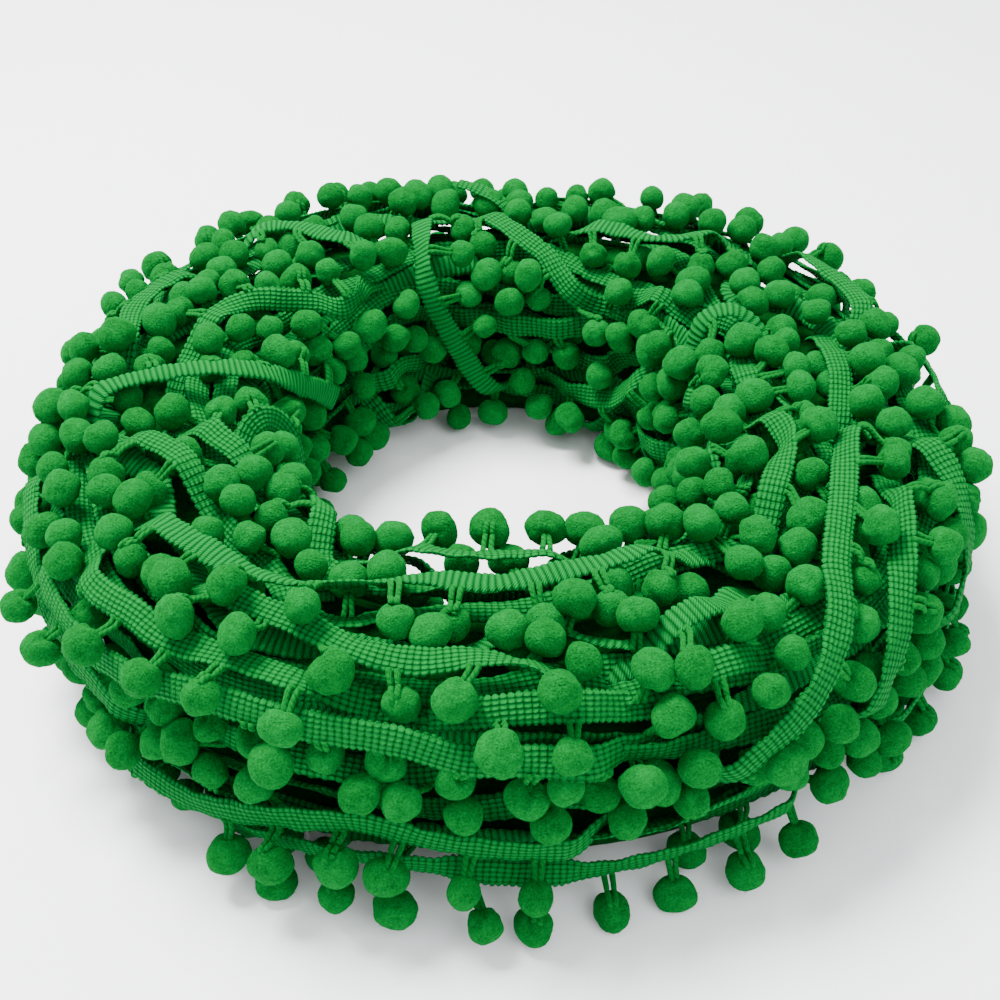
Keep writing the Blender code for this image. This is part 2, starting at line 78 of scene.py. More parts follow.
# Tape
TAPE_WIDTH = 7.0
TAPE_THICKNESS = 1.2
TAPE_STEP = 10.5
TRACE_STEP = 2.0
DIVE_LENGTH = 14.0
END_GAP = 0.62
SEAT_SPREAD = 7.0

# Pompoms and their loops
POMPOM_PITCH = 15.0
POMPOM_RADIUS = 4.45
LOOP_REACH = (8.4, 9.4, 7.4)
LOOP_SWINGS = (-35.0, -55.0, -15.0, 5.0, 25.0, 50.0, 75.0)
LOOP_LEANS = (0.0, 25.0, -25.0, 50.0, -50.0)
STEM_RADIUS = 0.95
ROOT_SINK = 0.9
ROOT_SHIFT = 0.63
CLEARANCE = 0.35
MOST_POMPOMS = 300
FACE_SHARE = 0.7947

# Fine tape
SCALLOP_PITCH = 1.55
SCALLOP_DEPTH = 0.62
EDGE_HALF_WIDTH = 3.02
ROOT_INSET = 0.5
FINE_STEP = 0.517
LOWER_STEP = 1.034
TAIL_LENGTH = 9.0
TAIL_DROP = 16.0
# Waves along a tape, each a height and a length: of its width, its cup and its edges
WIDTH_WAVES = ((0.12, 4.1), (0.09, 1.7))
CUP_WAVES = ((0.22, 9.0),)
CUP_DEPTH = 0.15
RIPPLE_WAVES = ((0.24, 3.1), (0.16, 1.3))
FRILL_WAVES = ((0.18, 1.1),)
FRILL_MIDDLE = 0.2
MEAN_SCALLOP = 0.6
PROFILE = ((-1.0, 0.0), (-0.8, 0.82), (-0.4, 1.0), (0.0, 1.0), (0.4, 1.0), (0.8, 0.82),
           (1.0, 0.0), (0.8, -0.82), (0.3, -1.0), (-0.3, -1.0), (-0.8, -0.82))
PROFILE_TOP = 6
LOWER_PROFILE = ((-1.0, 0.0), (-0.75, 0.85), (0.0, 1.0), (0.75, 0.85), (1.0, 0.0),
                 (0.6, -0.95), (-0.6, -0.95))
LOWER_PROFILE_TOP = 4

# Fine loops and pompoms
CORD_RADIUS = 0.76
CORD_SIDES = 6
CORD_STEPS = 9
LOWER_CORD_SIDES = 5
LOWER_CORD_STEPS = 5
CORD_SPACING = 1.75
CORD_BULGES = (0.2, 0.9)
CORD_SINK = 2.0
CORD_CLOSE = 0.55
CORD_APART = 0.80
CORD_GATHER = 0.25
WRAPPED_SHARE = 0.6
WRAP_ENDS = (1.0, 1.35)
BALL_RADII = (4.15, 4.85)
STRETCH = (-0.14, 0.12)
FLATTENING = 0.07
DIMPLES = (0.16, 0.32)
DIMPLE_WIDTH = 0.06
PINCHES = (0.04, 0.17)
PINCH_WIDTH = 0.17
PINCH_REACHES = (-0.6, 0.3)
# Lumps on a pompom, each a fineness and a share of the radius
LUMPS = ((1.5, 0.055), (2.5, 0.038), (4.5, 0.020), (9.0, 0.011))
FIBRES = 64
LOWER_FIBRES = 26
FIBRE_LENGTH = 0.75
FIBRE_WIDTH = 0.13
FIBRE_SPREAD = 0.55
SEED = 41

# Lower turns, a lap of the ring each: section angle, how far it wanders, how many times,
# where it starts to and how high it lies over the ring's surface
Lower = namedtuple("Lower", "turn wander waves start lift side")
LOWER_TURNS = (
    Lower(-24, 5, 5, 10, -7.5, -1),
    Lower(-15, 4, 6, 150, -5.5, 1),
    Lower(-6, 5, 4, 80, -8.5, 1),
    Lower(10, 6, 6, 200, -7.5, -1),
    Lower(28, 8, 5, 310, -8.5, 1),
    Lower(47, 8, 4, 40, -7.5, -1),
    Lower(65, 8, 5, 120, -8.5, 1),
    Lower(82, 8, 6, 250, -7.5, -1),
    Lower(98, 8, 4, 20, -8.5, 1),
    Lower(115, 8, 5, 150, -7.5, -1),
    Lower(134, 8, 4, 280, -8.5, 1),
    Lower(154, 7, 5, 60, -7.5, -1),
    Lower(176, 6, 4, 190, -8.5, 1),
    Lower(196, 5, 5, 330, -7.5, -1),
    Lower(214, 3, 6, 110, -4.5, -1),
)
FINE_WANDER = 0.3
LOWER_SWELL = 1.2
LOWER_TWIST = 35
LOWER_TILT = 10

# Innermost ring under the lower turns
DEEP_LIFT = -15.5
DEEP_RIDGES = 26
DEEP_RIDGE_HEIGHT = 1.0
DEEP_SEGMENTS = 150
DEEP_SIDES = 104

# Places of the lower pompoms: the ways they hang that are tried, and how near they may lie
LOWER_SWINGS = (-40, -10, 20, 50, 80, 110)
LOWER_LEANS = (0, 30, -30, 60, -60)
LOWER_REACHES = (7.6, 9.0)
LEAN_COST = 0.01
LOWER_HEIGHT = 11.5
SOFT_SQUASH = 0.8
FLOOR_ROOM = 0.3
TAPE_ROOM = 0.75
DEEP_SINK = 1
SAMPLE_PLACES = (-2.6, -0.9, 0.9, 2.6)

# Pompoms that fill the room left between the lower turns
FILL_TRIES = 18000
FILL_LIFTS = (-10.5, -1.0)
FILL_TURNS = (-34.0, 232.0)
FILL_REACH = 16.0
MOST_LOWER = 560

# Runs whose ribbed face is outside; the others show their waffle face
RIBBED = ("front_9", "front_7", "left_2", "back_1", "back_2", "right_4", "back_8", "outer_3",
          "outer_6", "inner_2")

# Camera, as the photograph was taken
CAMERA_X = 0.5
CAMERA_Y = -307.5
CAMERA_Z = 267.3
CAMERA_TILT = 38.8
LENS = 50.3
SENSOR = 36.0

# Colours, as light
POMPOM_DARK = (0.0002, 0.036, 0.0040)
POMPOM_MID = (0.0003, 0.098, 0.0130)
POMPOM_LIGHT = (0.0004, 0.178, 0.0290)
# The dark and pale ends of the tape and cord ramps carry painted shade in pits and grooves and
# painted light on raised floats, ribs and plies, mixed with random fuzz tone.
TAPE_SHADED = (0.0002, 0.022, 0.0025)
TAPE_MID = (0.0003, 0.084, 0.0115)
TAPE_LIT = (0.0004, 0.158, 0.0280)
CORD_MID = (0.0003, 0.080, 0.0100)
CORD_LIT = (0.0004, 0.136, 0.0210)
# Painted shade: the innermost turns are the same green tape, coloured nearly black-green for the
# depth between the turns.
DEEP_SHADE_DARK = (0.0002, 0.012, 0.0012)
DEEP_SHADE_LIGHT = (0.0004, 0.045, 0.0042)
WAFFLE_ACROSS = 1.13
RELIEF = 0.16
FLOOR_COLOUR = (0.93, 0.935, 0.94)
WORLD_COLOUR = (0.95, 0.97, 1.0, 1.0)
WORLD_STRENGTH = 1.65
LIGHTS = (
    ("key", (-0.34, 0.22, 0.95), 0.5, 42.0, (1.0, 0.995, 0.98)),
    ("fill", (0.6, -0.7, 0.9), 0.9, 8.0, (0.95, 0.98, 1.0)),
)

# Every run of tape that shows on the hank. A point of a route is an angle round the ring, seen
# from above with 270 at the front, and an angle round its section, where 0 is the outer side,
# 90 the top and 180 the wall of the hole. side is the edge that the pompoms hang from, 1 for
# the left of the route and -1 for the right; tilt is the twist of the tape along the route;
# lift is its height over the ring's surface, and every is 2 where only each second pompom shows.
# swing is how far the loops turn out of the tape's plane, or None where the pompoms lie close in.
Run = namedtuple("Run", "name side lift every swing tilt route")
RUNS = (
    Run("front_1", -1, 0.5, 1, None, (0, 0, 0, 0, 55),
        ((206, 30), (214, 24), (222, 21), (231, 24), (240, 32), (250, 33), (260, 33), (267, 26),
         (275, 25), (284, 17))),
    Run("front_2", -1, 0.0, 1, None, (50, 20, 0, 0, 0),
        ((222, -20), (229, -21), (236, -20), (243, -11), (250, -4), (257, -1), (265, -5),
         (273, -8), (283, -9))),
    Run("front_3", -1, 0.0, 1, 50, (0, 0, 0, 50, 10, 0, 0),
        ((234, -32), (240, -30), (247, -23), (254, -20), (262, -20), (269, -23), (275, -28),
         (281, -30), (288, -26), (295, -21), (301, -17), (307, -15))),
    Run("front_4", -1, 0.0, 1, None, (10, 0, 20, 40, 50),
        ((214, 52), (221, 47), (228, 50), (234, 49), (241, 53), (248, 53), (256, 51))),
    Run("front_5", -1, 0.0, 1, None, (0, 0, 0, 10, 0, 50, 0),
        ((228, 76), (234, 78), (240, 78), (247, 77), (254, 72), (261, 70), (268, 73), (275, 69),
         (280, 68))),
    Run("front_6", -1, 0.0, 1, None, (0, 0, 0),
        ((264, 46), (268, 48), (273, 50), (279, 49), (285, 46))),
    Run("front_7", -1, 0.0, 1, None, (20, 0, 0),
        ((285, 74), (291, 79), (297, 82), (302, 86))),
    Run("front_8", -1, -2.0, 1, None, (0, 0),
        ((287, 55), (292, 57), (297, 57), (302, 55))),
    Run("front_9", -1, 0.5, 1, None, (20, 0, 0, 40, 50, 10, 0, 0, 20, 40),
        ((213, 80), (220, 84), (228, 86), (236, 87), (244, 89), (252, 92), (260, 97), (270, 97),
         (279, 100), (288, 101), (296, 102), (303, 100))),
    Run("front_10", -1, 0.0, 1, 20, (0, 0, 0),
        ((289, 122), (280, 121), (272, 124), (263, 122), (254, 126), (244.5, 127))),
    Run("left_1", -1, 0.5, 1, None, (0, 0, 0),
        ((194, 80), (199, 88), (205, 92), (211, 95), (217, 97))),
    Run("left_2", 1, 1.5, 1, None, (0, 0, 0, 0),
        ((191, 62), (186, 80), (182, 98), (178, 124), (170, 150), (157, 170), (141, 184))),
    Run("left_3", 1, 0.0, 1, None, (0, 30, 0),
        ((192, 95), (198, 102), (204, 108), (210, 116), (217, 126))),
    Run("left_4", -1, 0.5, 1, None, (0, 0, 0),
        ((213, 164), (222, 154), (229, 140), (235, 123), (239, 108))),
    Run("left_5", 1, 0.0, 1, None, (20, 40, 30),
        ((203, 124), (196, 128), (191, 140), (189, 154), (190, 170), (196, 186))),
    Run("left_6", 1, 0.5, 1, None, (0, 10, 0, 30),
        ((176, 74), (170, 76), (163, 71), (157, 72), (151, 76), (145, 77))),
    Run("left_7", 1, 0.5, 1, None, (0, 0, 50, 0, 40, 0),
        ((171, 92), (165, 94), (159, 98), (153, 105), (148, 117), (142, 129), (137, 140),
         (131, 140), (125, 131), (119, 126))),
    Run("left_8", -1, -1.0, 1, None, (30, 20, 0),
        ((190, 36), (198, 24), (206, 12), (215, 5), (224, 2), (232, -2))),
    Run("left_9", -1, 0.0, 1, None, (0, 0, 0),
        ((176, -16), (186, -12), (196, -14), (205, -20), (214, -24))),
    Run("back_1", -1, 0.5, 1, None, (0, 0, 0),
        ((139, 64), (134, 74), (129, 84), (125, 95), (120, 101), (114, 102))),
    Run("back_2", 1, 0.5, 1, None, (0, 50, 40, 0, 0, 10),
        ((104, 88), (107, 104), (109, 124), (110, 142), (108, 162), (103, 178), (96, 192),
         (90, 204), (86, 211), (83, 206))),
    Run("back_3", -1, 0.5, 1, None, (0, 0, 10, 0, 10),
        ((95, 88), (92, 96), (88, 106), (83, 117), (78, 126), (74, 137), (69, 147), (63, 153),
         (58, 152))),
    Run("back_4", -1, 0.0, 1, None, (0, 0, 0),
        ((98, 174), (90, 173), (80, 172), (70, 171), (61, 169))),
    Run("back_5", -1, 0.0, 1, None, (20, 0, 40, 50, 20),
        ((79, 201), (73, 196), (66, 193), (58, 190), (49, 184), (40, 175), (33, 167))),
    Run("back_6", -1, 0.0, 1, None, (0, 40),
        ((134, 188), (127, 185), (120, 183), (113, 186))),
    Run("back_7", 1, 1.0, 1, None, (0, 20, 0),
        ((130, 193), (126, 209), (121, 220), (115, 220), (111, 212), (108, 202))),
    Run("back_8", -1, 0.5, 1, None, (0, 0, 20, 0),
        ((77, 94), (70, 97), (63, 97), (57, 96), (52, 91), (48, 82), (44, 73))),
    Run("back_9", 1, 1.0, 1, None, (0, 0),
        ((75, 211), (69, 218), (62, 221), (56, 217), (51, 206))),
    Run("right_1", 1, 1.5, 1, None, (50, 30, 0, 0, 0, 0, 0),
        ((348, 84), (341, 88), (332, 87), (322, 82), (314, 72), (309, 55), (304, 35), (300, 22),
         (295, 11), (289, 0))),
    Run("right_2", 1, 1.0, 1, None, (50, 60, 20, 0, 0),
        ((337, 73), (330, 68), (323, 58), (318, 45), (314, 26), (311, 8), (308, -3))),
    Run("right_3", 1, 0.5, 1, None, (50, 30, 0, 0),
        ((350, 66), (344, 58), (340, 42), (336, 24), (331, 9), (325, -2))),
    Run("right_4", -1, 0.5, 1, None, (0, 0, 0, 0),
        ((26, 141), (27, 132), (27, 122), (26, 112), (23, 102), (17, 96))),
    Run("right_5", -1, 0.0, 1, None, (0, 20, 0),
        ((54, 134), (49, 128), (43, 123), (37, 120))),
    Run("right_6", 1, 0.5, 1, None, (0, 0, 50, 0, 0),
        ((350, 118), (345, 111), (341, 103), (335, 98), (328, 97), (321, 95), (315, 92))),
    Run("right_7", 1, 0.0, 1, None, (0, 0, 0),
        ((342, 146), (336, 139), (329, 134), (321, 132))),
    Run("right_8", 1, 0.0, 1, None, (0, 0, 0),
        ((18, 166), (11, 158), (4, 148), (-2, 139))),
    Run("right_9", 1, 0.5, 1, None, (0, 0, 20, 0),
        ((41, 56), (36, 62), (30, 63), (24, 62), (18, 65), (13, 72))),
    Run("right_10", 1, -4.0, 1, None, (0, 0),
        ((15, 84), (8, 86), (1, 87), (-5, 88))),
    Run("right_11", -1, -4.0, 1, None, (0, 0),
        ((15, 112), (8, 114), (1, 114), (-5, 112))),
    Run("right_12", -1, 0.0, 1, None, (20, 0, 20),
        ((48, 198), (39, 196), (30, 193), (21, 190), (12, 188))),
    Run("right_13", -1, 0.0, 1, None, (20, 0, 20),
        ((4, 190), (-5, 186), (-14, 184), (-23, 188))),
    Run("right_14", -1, 0.0, 1, None, (0, 0),
        ((354, 40), (361, 36), (369, 38), (377, 36))),
    Run("outer_1", -1, -3.0, 2, None, (0, 20, 0),
        ((24, 34), (40, 38), (56, 35), (72, 41), (86, 40))),
    Run("outer_2", -1, -2.5, 1, None, (0, 0, 30),
        ((94, 44), (108, 38), (124, 43), (140, 38), (154, 44))),
    Run("outer_3", -1, 0.5, 1, None, (0, 30, 0),
        ((8, 14), (26, 19), (42, 13), (58, 18), (76, 14))),
    Run("outer_4", -1, 0.5, 1, None, (20, 0, 0),
        ((84, 17), (100, 13), (118, 19), (136, 14), (154, 19), (168, 16))),
    Run("outer_5", -1, 0.0, 1, None, (0, 0, 20),
        ((16, -5), (34, -2), (52, -7), (70, -3), (88, -5))),
    Run("outer_6", -1, 0.0, 1, None, (0, 20, 0),
        ((97, -4), (115, -7), (133, -2), (151, -6), (169, -3))),
    Run("outer_7", -1, 0.0, 1, None, (0, 10, 0),
        ((28, -27), (46, -23), (64, -28), (82, -24), (98, -27))),
    Run("outer_8", -1, 0.0, 1, None, (0, 0, 10),
        ((106, -24), (124, -28), (142, -23), (160, -26))),
    Run("outer_9", -1, 0.0, 1, 30, (0, 10, 0),
        ((314, -22), (326, -20), (338, -14), (350, -18), (362, -14), (372, -20))),
    Run("inner_1", 1, 0.0, 2, None, (0, 20, 0),
        ((224, 172), (236, 164), (250, 160), (264, 164))),
    Run("inner_2", 1, 0.0, 2, None, (0, 0, 20),
        ((272, 163), (286, 160), (300, 158), (316, 162))),
    Run("inner_3", 1, 0.0, 2, None, (0, 20, 0),
        ((206, 192), (220, 187), (236, 190), (252, 186), (266, 189))),
    Run("inner_4", 1, 0.0, 2, None, (20, 0, 0),
        ((275, 186), (290, 188), (306, 184), (322, 187))),
    Run("inner_5", 1, 0.0, 2, None, (0, 0),
        ((214, 207), (232, 208), (250, 212), (266, 207))),
    Run("inner_6", 1, 0.0, 2, None, (0, 0),
        ((276, 208), (292, 207), (304, 204), (314, 194))),
)

# The end of the tape, which stands up from the top of the ring at the back
END_ROUTE = ((86, 88), (89, 84), (93, 80), (97, 77))
END_RISE = (0.0, 4.5, 8.0, 10.0)


def ring_rows(angles, turns):
    """Angle, radius, height, outward direction and section angle at points of the ring."""
    angles = np.asarray(angles, float)
    turns = np.asarray(turns, float)
    t = np.radians(angles)
    s = np.radians(turns)
    outer = OUTER_RADIUS + CORNER_SWELL * np.sin(2 * t) ** 2
    inner = INNER_RADIUS - SIDE_FILL * np.cos(t) ** 2 - RIGHT_FILL * np.cos(t)
    half_width = (outer - inner) / 2
    at_foot = (np.cos(s) < 0) & (np.sin(s) < 0)
    side_round = np.where(at_foot, FOOT_ROUNDNESS, ROUNDNESS)
    c = np.sign(np.cos(s)) * np.abs(np.cos(s)) ** side_round
    d = np.sign(np.sin(s)) * np.abs(np.sin(s)) ** ROUNDNESS
    radius = (outer + inner) / 2 + c * half_width
    height = HALF_HEIGHT + d * HALF_HEIGHT
    normal_r = np.sign(c) * np.abs(np.cos(s)) ** (2 - side_round) / half_width
    normal_z = np.sign(d) * np.abs(np.sin(s)) ** (2 - ROUNDNESS) / HALF_HEIGHT
    size = np.hypot(normal_r, normal_z)
    return np.stack([angles, radius, height, normal_r / size, normal_z / size, turns], axis=-1)


def to_world(rows, lift):
    """Points over the ring's surface and the outward directions there."""
    t = np.radians(rows[..., 0])
    flat = np.stack([np.cos(t), np.sin(t)], axis=-1)
    size = np.hypot(rows[..., 3], rows[..., 4])
    out_r = rows[..., 3] / size
    out_z = rows[..., 4] / size
    radius = rows[..., 1] + lift * out_r
    height = rows[..., 2] + lift * out_z
    points = np.concatenate([flat * radius[..., None], height[..., None]], axis=-1)
    outward = np.concatenate([flat * out_r[..., None], out_z[..., None]], axis=-1)
    return points, outward


def core_lift(angles, turns):
    """How far the wound form lies under the outer runs, with its twists as ridges."""
    wave = TWISTS_AROUND * np.radians(turns) + TWIST_TURNS * np.radians(angles)
    return -CORE_DEPTH + TWIST_HEIGHT * np.cos(wave)


def smooth(knots, steps):
    """A smooth curve through the knots, read at evenly spaced steps."""
    k = np.array(knots, float)
    k = k.reshape(len(k), -1)
    spans = len(k) - 1
    ends = np.vstack([2 * k[0] - k[1], k, 2 * k[-1] - k[-2]])
    at = np.linspace(0, spans, steps)
    i = np.minimum(at.astype(int), spans - 1)
    f = (at - i)[:, None]
    a, b, c, d = ends[i], ends[i + 1], ends[i + 2], ends[i + 3]
    return 0.5 * (2 * b + (c - a) * f + (2 * a - 5 * b + 4 * c - d) * f ** 2
                  + (3 * b - a - 3 * c + d) * f ** 3)


def unit(v):
    """Vectors of length 1."""
    return v / np.linalg.norm(v, axis=-1, keepdims=True)


def gentle(x):
    """A soft step from 0 to 1."""
    x = np.clip(x, 0, 1)
    return x * x * (3 - 2 * x)


Trace = namedtuple("Trace", "points along across out folds")


def resample(columns, length_so_far, step):
    """The columns at evenly spaced lengths, with both ends kept."""
    count = max(int(round(length_so_far[-1] / step)), 2)
    at = np.linspace(0, length_so_far[-1], count + 1)
    return np.stack([np.interp(at, length_so_far, col) for col in columns.T], axis=-1), at


def trace_tape(points, outward, tilt, side):
    """Frames along a tape that is straight between its folds.

    across points to the edge with the pompoms and out points away from the ring.
    """
    along = unit(np.gradient(points, axis=0))
    out = unit(outward - along * np.sum(outward * along, axis=-1, keepdims=True))
    across = np.cross(out, along) * side
    turn = np.radians(tilt)[:, None]
    across = unit(across * np.cos(turn) + out * np.sin(turn))
    count = max(int(round((len(points) - 1) * TRACE_STEP / TAPE_STEP)), 2)
    folds = np.linspace(0, len(points) - 1, count + 1).round().astype(int)
    at = np.arange(len(points))
    edges = [points - across * TAPE_WIDTH / 2, points + across * TAPE_WIDTH / 2]
    left, right = [np.stack([np.interp(at, folds, edge[folds, i]) for i in range(3)], axis=-1)
                   for edge in edges]
    points = (left + right) / 2
    along = unit(np.gradient(points, axis=0))
    across = unit(right - left)
    return Trace(points, along, across, unit(np.cross(along, across)) * side, folds)


def seat_lift(rows, core_tree):
    """Lift over the ring's surface at which a tape's end lies just over the wound form."""
    highest = -math.inf
    for row in rows:
        point, outward = to_world(row, 0.0)
        hit, _, _, depth = core_tree.ray_cast(Vector(point), Vector(-outward))
        if hit is not None:
            highest = max(highest, -depth)
    return highest + TAPE_THICKNESS / 2 + END_GAP


def end_rows(row, ahead):
    """Places across the end of a tape, for its seat on the wound form."""
    points, outward = to_world(np.stack([row, ahead]), 0.0)
    way = unit(np.cross(outward[0], points[1] - points[0]))
    turn_step = way @ (to_world(ring_rows(row[0], row[5] + 1), 0.0)[0] - points[0])
    angle_step = way @ (to_world(ring_rows(row[0] + 1, row[5]), 0.0)[0] - points[0])
    size = math.hypot(turn_step, angle_step)
    found = []
    for share in (-1, -0.5, 0, 0.5, 1):
        turn = row[5] + share * SEAT_SPREAD * turn_step / size
        angle = row[0] + share * SEAT_SPREAD * angle_step / size / 3
        found.append(ring_rows(angle, turn))
    return found


def trace_run(run, core_tree):
    """Frames every TRACE_STEP along a run, whose ends dive to the wound form."""
    steps = 60 * len(run.route)
    angles, turns = np.array(run.route, float).T
    rows = smooth(ring_rows(angles, turns), steps)
    tilt = smooth(run.tilt, steps)[:, 0]
    rough, _ = to_world(rows, run.lift)
    done = np.concatenate([[0], np.cumsum(np.linalg.norm(np.diff(rough, axis=0), axis=1))])
    table, at = resample(np.column_stack([rows, tilt]), done, TRACE_STEP)
    from_end = np.minimum(at, at[-1] - at)
    up = gentle(from_end / DIVE_LENGTH)
    first = seat_lift(end_rows(table[0], table[1]), core_tree)
    last = seat_lift(end_rows(table[-1], table[-2]), core_tree)
    seat = np.where(at < at[-1] / 2, first, last)
    points, outward = to_world(table, seat + (run.lift - seat) * up)
    return trace_tape(points, outward, table[:, 6] * up, run.side)


def trace_end(core_tree):
    """Frames along the end of the tape, which rises from its seat on the wound form."""
    steps = 60 * len(END_ROUTE)
    angles, turns = np.array(END_ROUTE, float).T
    rows = smooth(ring_rows(angles, turns), steps)
    seat = seat_lift(end_rows(rows[0], rows[1]), core_tree)
    points, outward = to_world(rows, seat + smooth(END_RISE, steps)[:, 0])
    done = np.concatenate([[0], np.cumsum(np.linalg.norm(np.diff(points, axis=0), axis=1))])
    table, _ = resample(np.column_stack([points, outward]), done, TRACE_STEP)
    return trace_tape(table[:, :3], table[:, 3:], np.zeros(len(table)), 1)


def tape_distance(trace, point):
    """Distance from a point to the tape, as flat boxes along its frames."""
    d = point - trace.points
    u = np.abs(np.sum(d * trace.along, axis=1)) - TRACE_STEP / 2
    w = np.abs(np.sum(d * trace.across, axis=1)) - TAPE_WIDTH / 2
    n = np.abs(np.sum(d * trace.out, axis=1)) - TAPE_THICKNESS / 2
    gaps = np.maximum(np.stack([u, w, n], axis=1), 0)
    return np.sqrt(np.sum(gaps ** 2, axis=1)).min()


Pompom = namedtuple("Pompom", "root centre loop")


class Layout:
    """Places the pompoms so that each keeps clear of the tapes, the wound form and the rest."""

    def __init__(self, traces, core_tree):
        self.traces = traces
        self.tree = core_tree
        self.balls = np.zeros((0, 4))
        self.placed = 0

    def core_distance(self, point):
        """Distance to the wound form, below zero inside it."""
        near, normal, _, distance = self.tree.find_nearest(Vector(point))
        return math.copysign(distance, (Vector(point) - near).dot(normal))

    def clear(self, name, point, radius, own_tape):
        """Whether a ball at the point touches nothing."""
        if self.core_distance(point) < radius + CLEARANCE:
            return False
        if len(self.balls):
            gap = np.linalg.norm(self.balls[:, :3] - point, axis=1) - self.balls[:, 3]
            if gap.min() < radius + CLEARANCE:
                return False
        for other, trace in self.traces.items():
            if other == name and own_tape:
                continue
            if np.abs(trace.points - point).max(axis=1).min() > 3 * POMPOM_RADIUS:
                continue
            if tape_distance(trace, point) < radius + CLEARANCE:
                return False
        return True

    def hang(self, name, trace, at, swings_to):
        """The best free place for the pompom whose loop leaves the tape at a frame."""
        edge = trace.points[at] + trace.across[at] * TAPE_WIDTH / 2
        best = None
        for swing in LOOP_SWINGS:
            for lean in LOOP_LEANS:
                s, n = math.radians(swing), math.radians(lean)
                way = trace.across[at] * math.cos(s) + trace.out[at] * math.sin(s)
                way = way * math.cos(n) + trace.along[at] * math.sin(n)
                for reach in LOOP_REACH:
                    centre = edge + way * reach
                    on_floor = centre[2] < POMPOM_RADIUS + CLEARANCE
                    if on_floor:
                        if centre[2] < -POMPOM_RADIUS:
                            continue
                        centre[2] = POMPOM_RADIUS * FACE_SHARE
                    spare = np.linalg.norm(centre - edge) - POMPOM_RADIUS
                    if spare < 2.0:
                        continue
                    cost = abs(lean) * 0.05
                    if swings_to is None:
                        cost += self.core_distance(centre) + centre[2] * 0.15
                    else:
                        cost += abs(swing - swings_to) * 0.1
                    if best is not None and cost >= best[0]:
                        continue
                    if not self.clear(name, centre, POMPOM_RADIUS, False):
                        continue
                    loop = [edge + (centre - edge) * f for f in (0.12, 0.3, 0.48)]
                    loop = [p for p in loop if np.linalg.norm(p - centre) > POMPOM_RADIUS]
                    if all(self.clear(name, p, STEM_RADIUS, True) for p in loop):
                        best = (cost, centre, loop)
        return best

    def place(self, run, trace):
        """Pompoms at an even pitch along a run, without those that have no room."""
        pitch = POMPOM_PITCH * run.every
        first = (POMPOM_PITCH / 2 + DIVE_LENGTH / 3) / TRACE_STEP
        stops = np.arange(first, len(trace.points) - first / 2, pitch / TRACE_STEP).astype(int)
        found = []
        for at in stops:
            if self.placed >= MOST_POMPOMS:
                break
            best = self.hang(run.name, trace, at, run.swing)
            if best is None:
                continue
            _, centre, loop = best
            root = trace.points[at] + trace.across[at] * (TAPE_WIDTH / 2 - ROOT_SINK)
            root = root + trace.along[at] * ROOT_SHIFT
            found.append(Pompom(root, centre, loop))
            added = [[*centre, POMPOM_RADIUS]] + [[*p, STEM_RADIUS] for p in loop]
            self.balls = np.vstack([self.balls, added])
            self.placed += 1
        return found


def core_mesh():
    """The wound form: a closed ring whose flat underside lies on the floor."""
    angles = np.linspace(0, 360, CORE_SEGMENTS, endpoint=False)
    turns = np.linspace(0, 360, CORE_SIDES, endpoint=False)
    a, s = np.meshgrid(angles, turns, indexing="ij")
    rows = ring_rows(a.ravel(), s.ravel())
    points, _ = to_world(rows, core_lift(rows[:, 0], rows[:, 5]))
    low = np.minimum(np.sin(np.radians(rows[:, 5])), 0)
    points[:, 2] = np.maximum(points[:, 2] - BASE_DROP * low ** 4, 0)
    bm = bmesh.new()
    verts = [bm.verts.new(p) for p in points]
    for i in range(CORE_SEGMENTS):
        for j in range(CORE_SIDES):
            k = (i + 1) % CORE_SEGMENTS
            m = (j + 1) % CORE_SIDES
            corners = (i * CORE_SIDES + j, k * CORE_SIDES + j, k * CORE_SIDES + m,
                       i * CORE_SIDES + m)
            bm.faces.new([verts[c] for c in corners])
    bmesh.ops.recalc_face_normals(bm, faces=bm.faces)
    return bm


# Visual model

Mesh = namedtuple("Mesh", "points faces slots maps")
POMPOM, WAFFLE, RIB, CORD = range(4)


def path_of(run, core_tree, step):
    """Points, outward directions and tilts along a run at a fine step, ends diving as in CAD."""
    steps = 60 * len(run.route)
    angles, turns = np.array(run.route, float).T
    rows = smooth(ring_rows(angles, turns), steps)
    tilt = smooth(run.tilt, steps)[:, 0]
    rough, _ = to_world(rows, run.lift)
    done = np.concatenate([[0], np.cumsum(np.linalg.norm(np.diff(rough, axis=0), axis=1))])
    table, at = resample(np.column_stack([rows, tilt]), done, step)
    up = gentle(np.minimum(at, at[-1] - at) / DIVE_LENGTH)
    first = seat_lift(end_rows(table[0], table[1]), core_tree)
    last = seat_lift(end_rows(table[-1], table[-2]), core_tree)
    seat = np.where(at < at[-1] / 2, first, last)
    points, outward = to_world(table, seat + (run.lift - seat) * up)
    return points, outward, table[:, 6] * up


def with_tails(points, outward, tilt, step):
    """The path carried on past both ends, down under the neighbouring turns."""
    count = int(TAIL_LENGTH / step)
    s = np.arange(1, count + 1)[:, None] * step
    first = unit(points[0] - points[3])
    last = unit(points[-1] - points[-4])
    head = points[0] + first * s - outward[0] * s ** 2 / TAIL_DROP
    foot = points[-1] + last * s - outward[-1] * s ** 2 / TAIL_DROP
    points = np.vstack([head[::-1], points, foot])
    outward = np.vstack([np.repeat(outward[:1], count, axis=0), outward,
                         np.repeat(outward[-1:], count, axis=0)])
    tilt = np.concatenate([np.repeat(tilt[0], count), tilt, np.repeat(tilt[-1], count)])
    return points, outward, tilt


def tape_frames(points, outward, tilt, side):
    """Along, across and out directions of a fine tape."""
    along = unit(np.gradient(points, axis=0))
    out = unit(outward - along * np.sum(outward * along, axis=-1, keepdims=True))
    across = np.cross(out, along) * side
    turn = np.radians(tilt)[:, None]
    turned = across * np.cos(turn) + out * np.sin(turn)
    out = out * np.cos(turn) - across * np.sin(turn)
    return along, turned, out


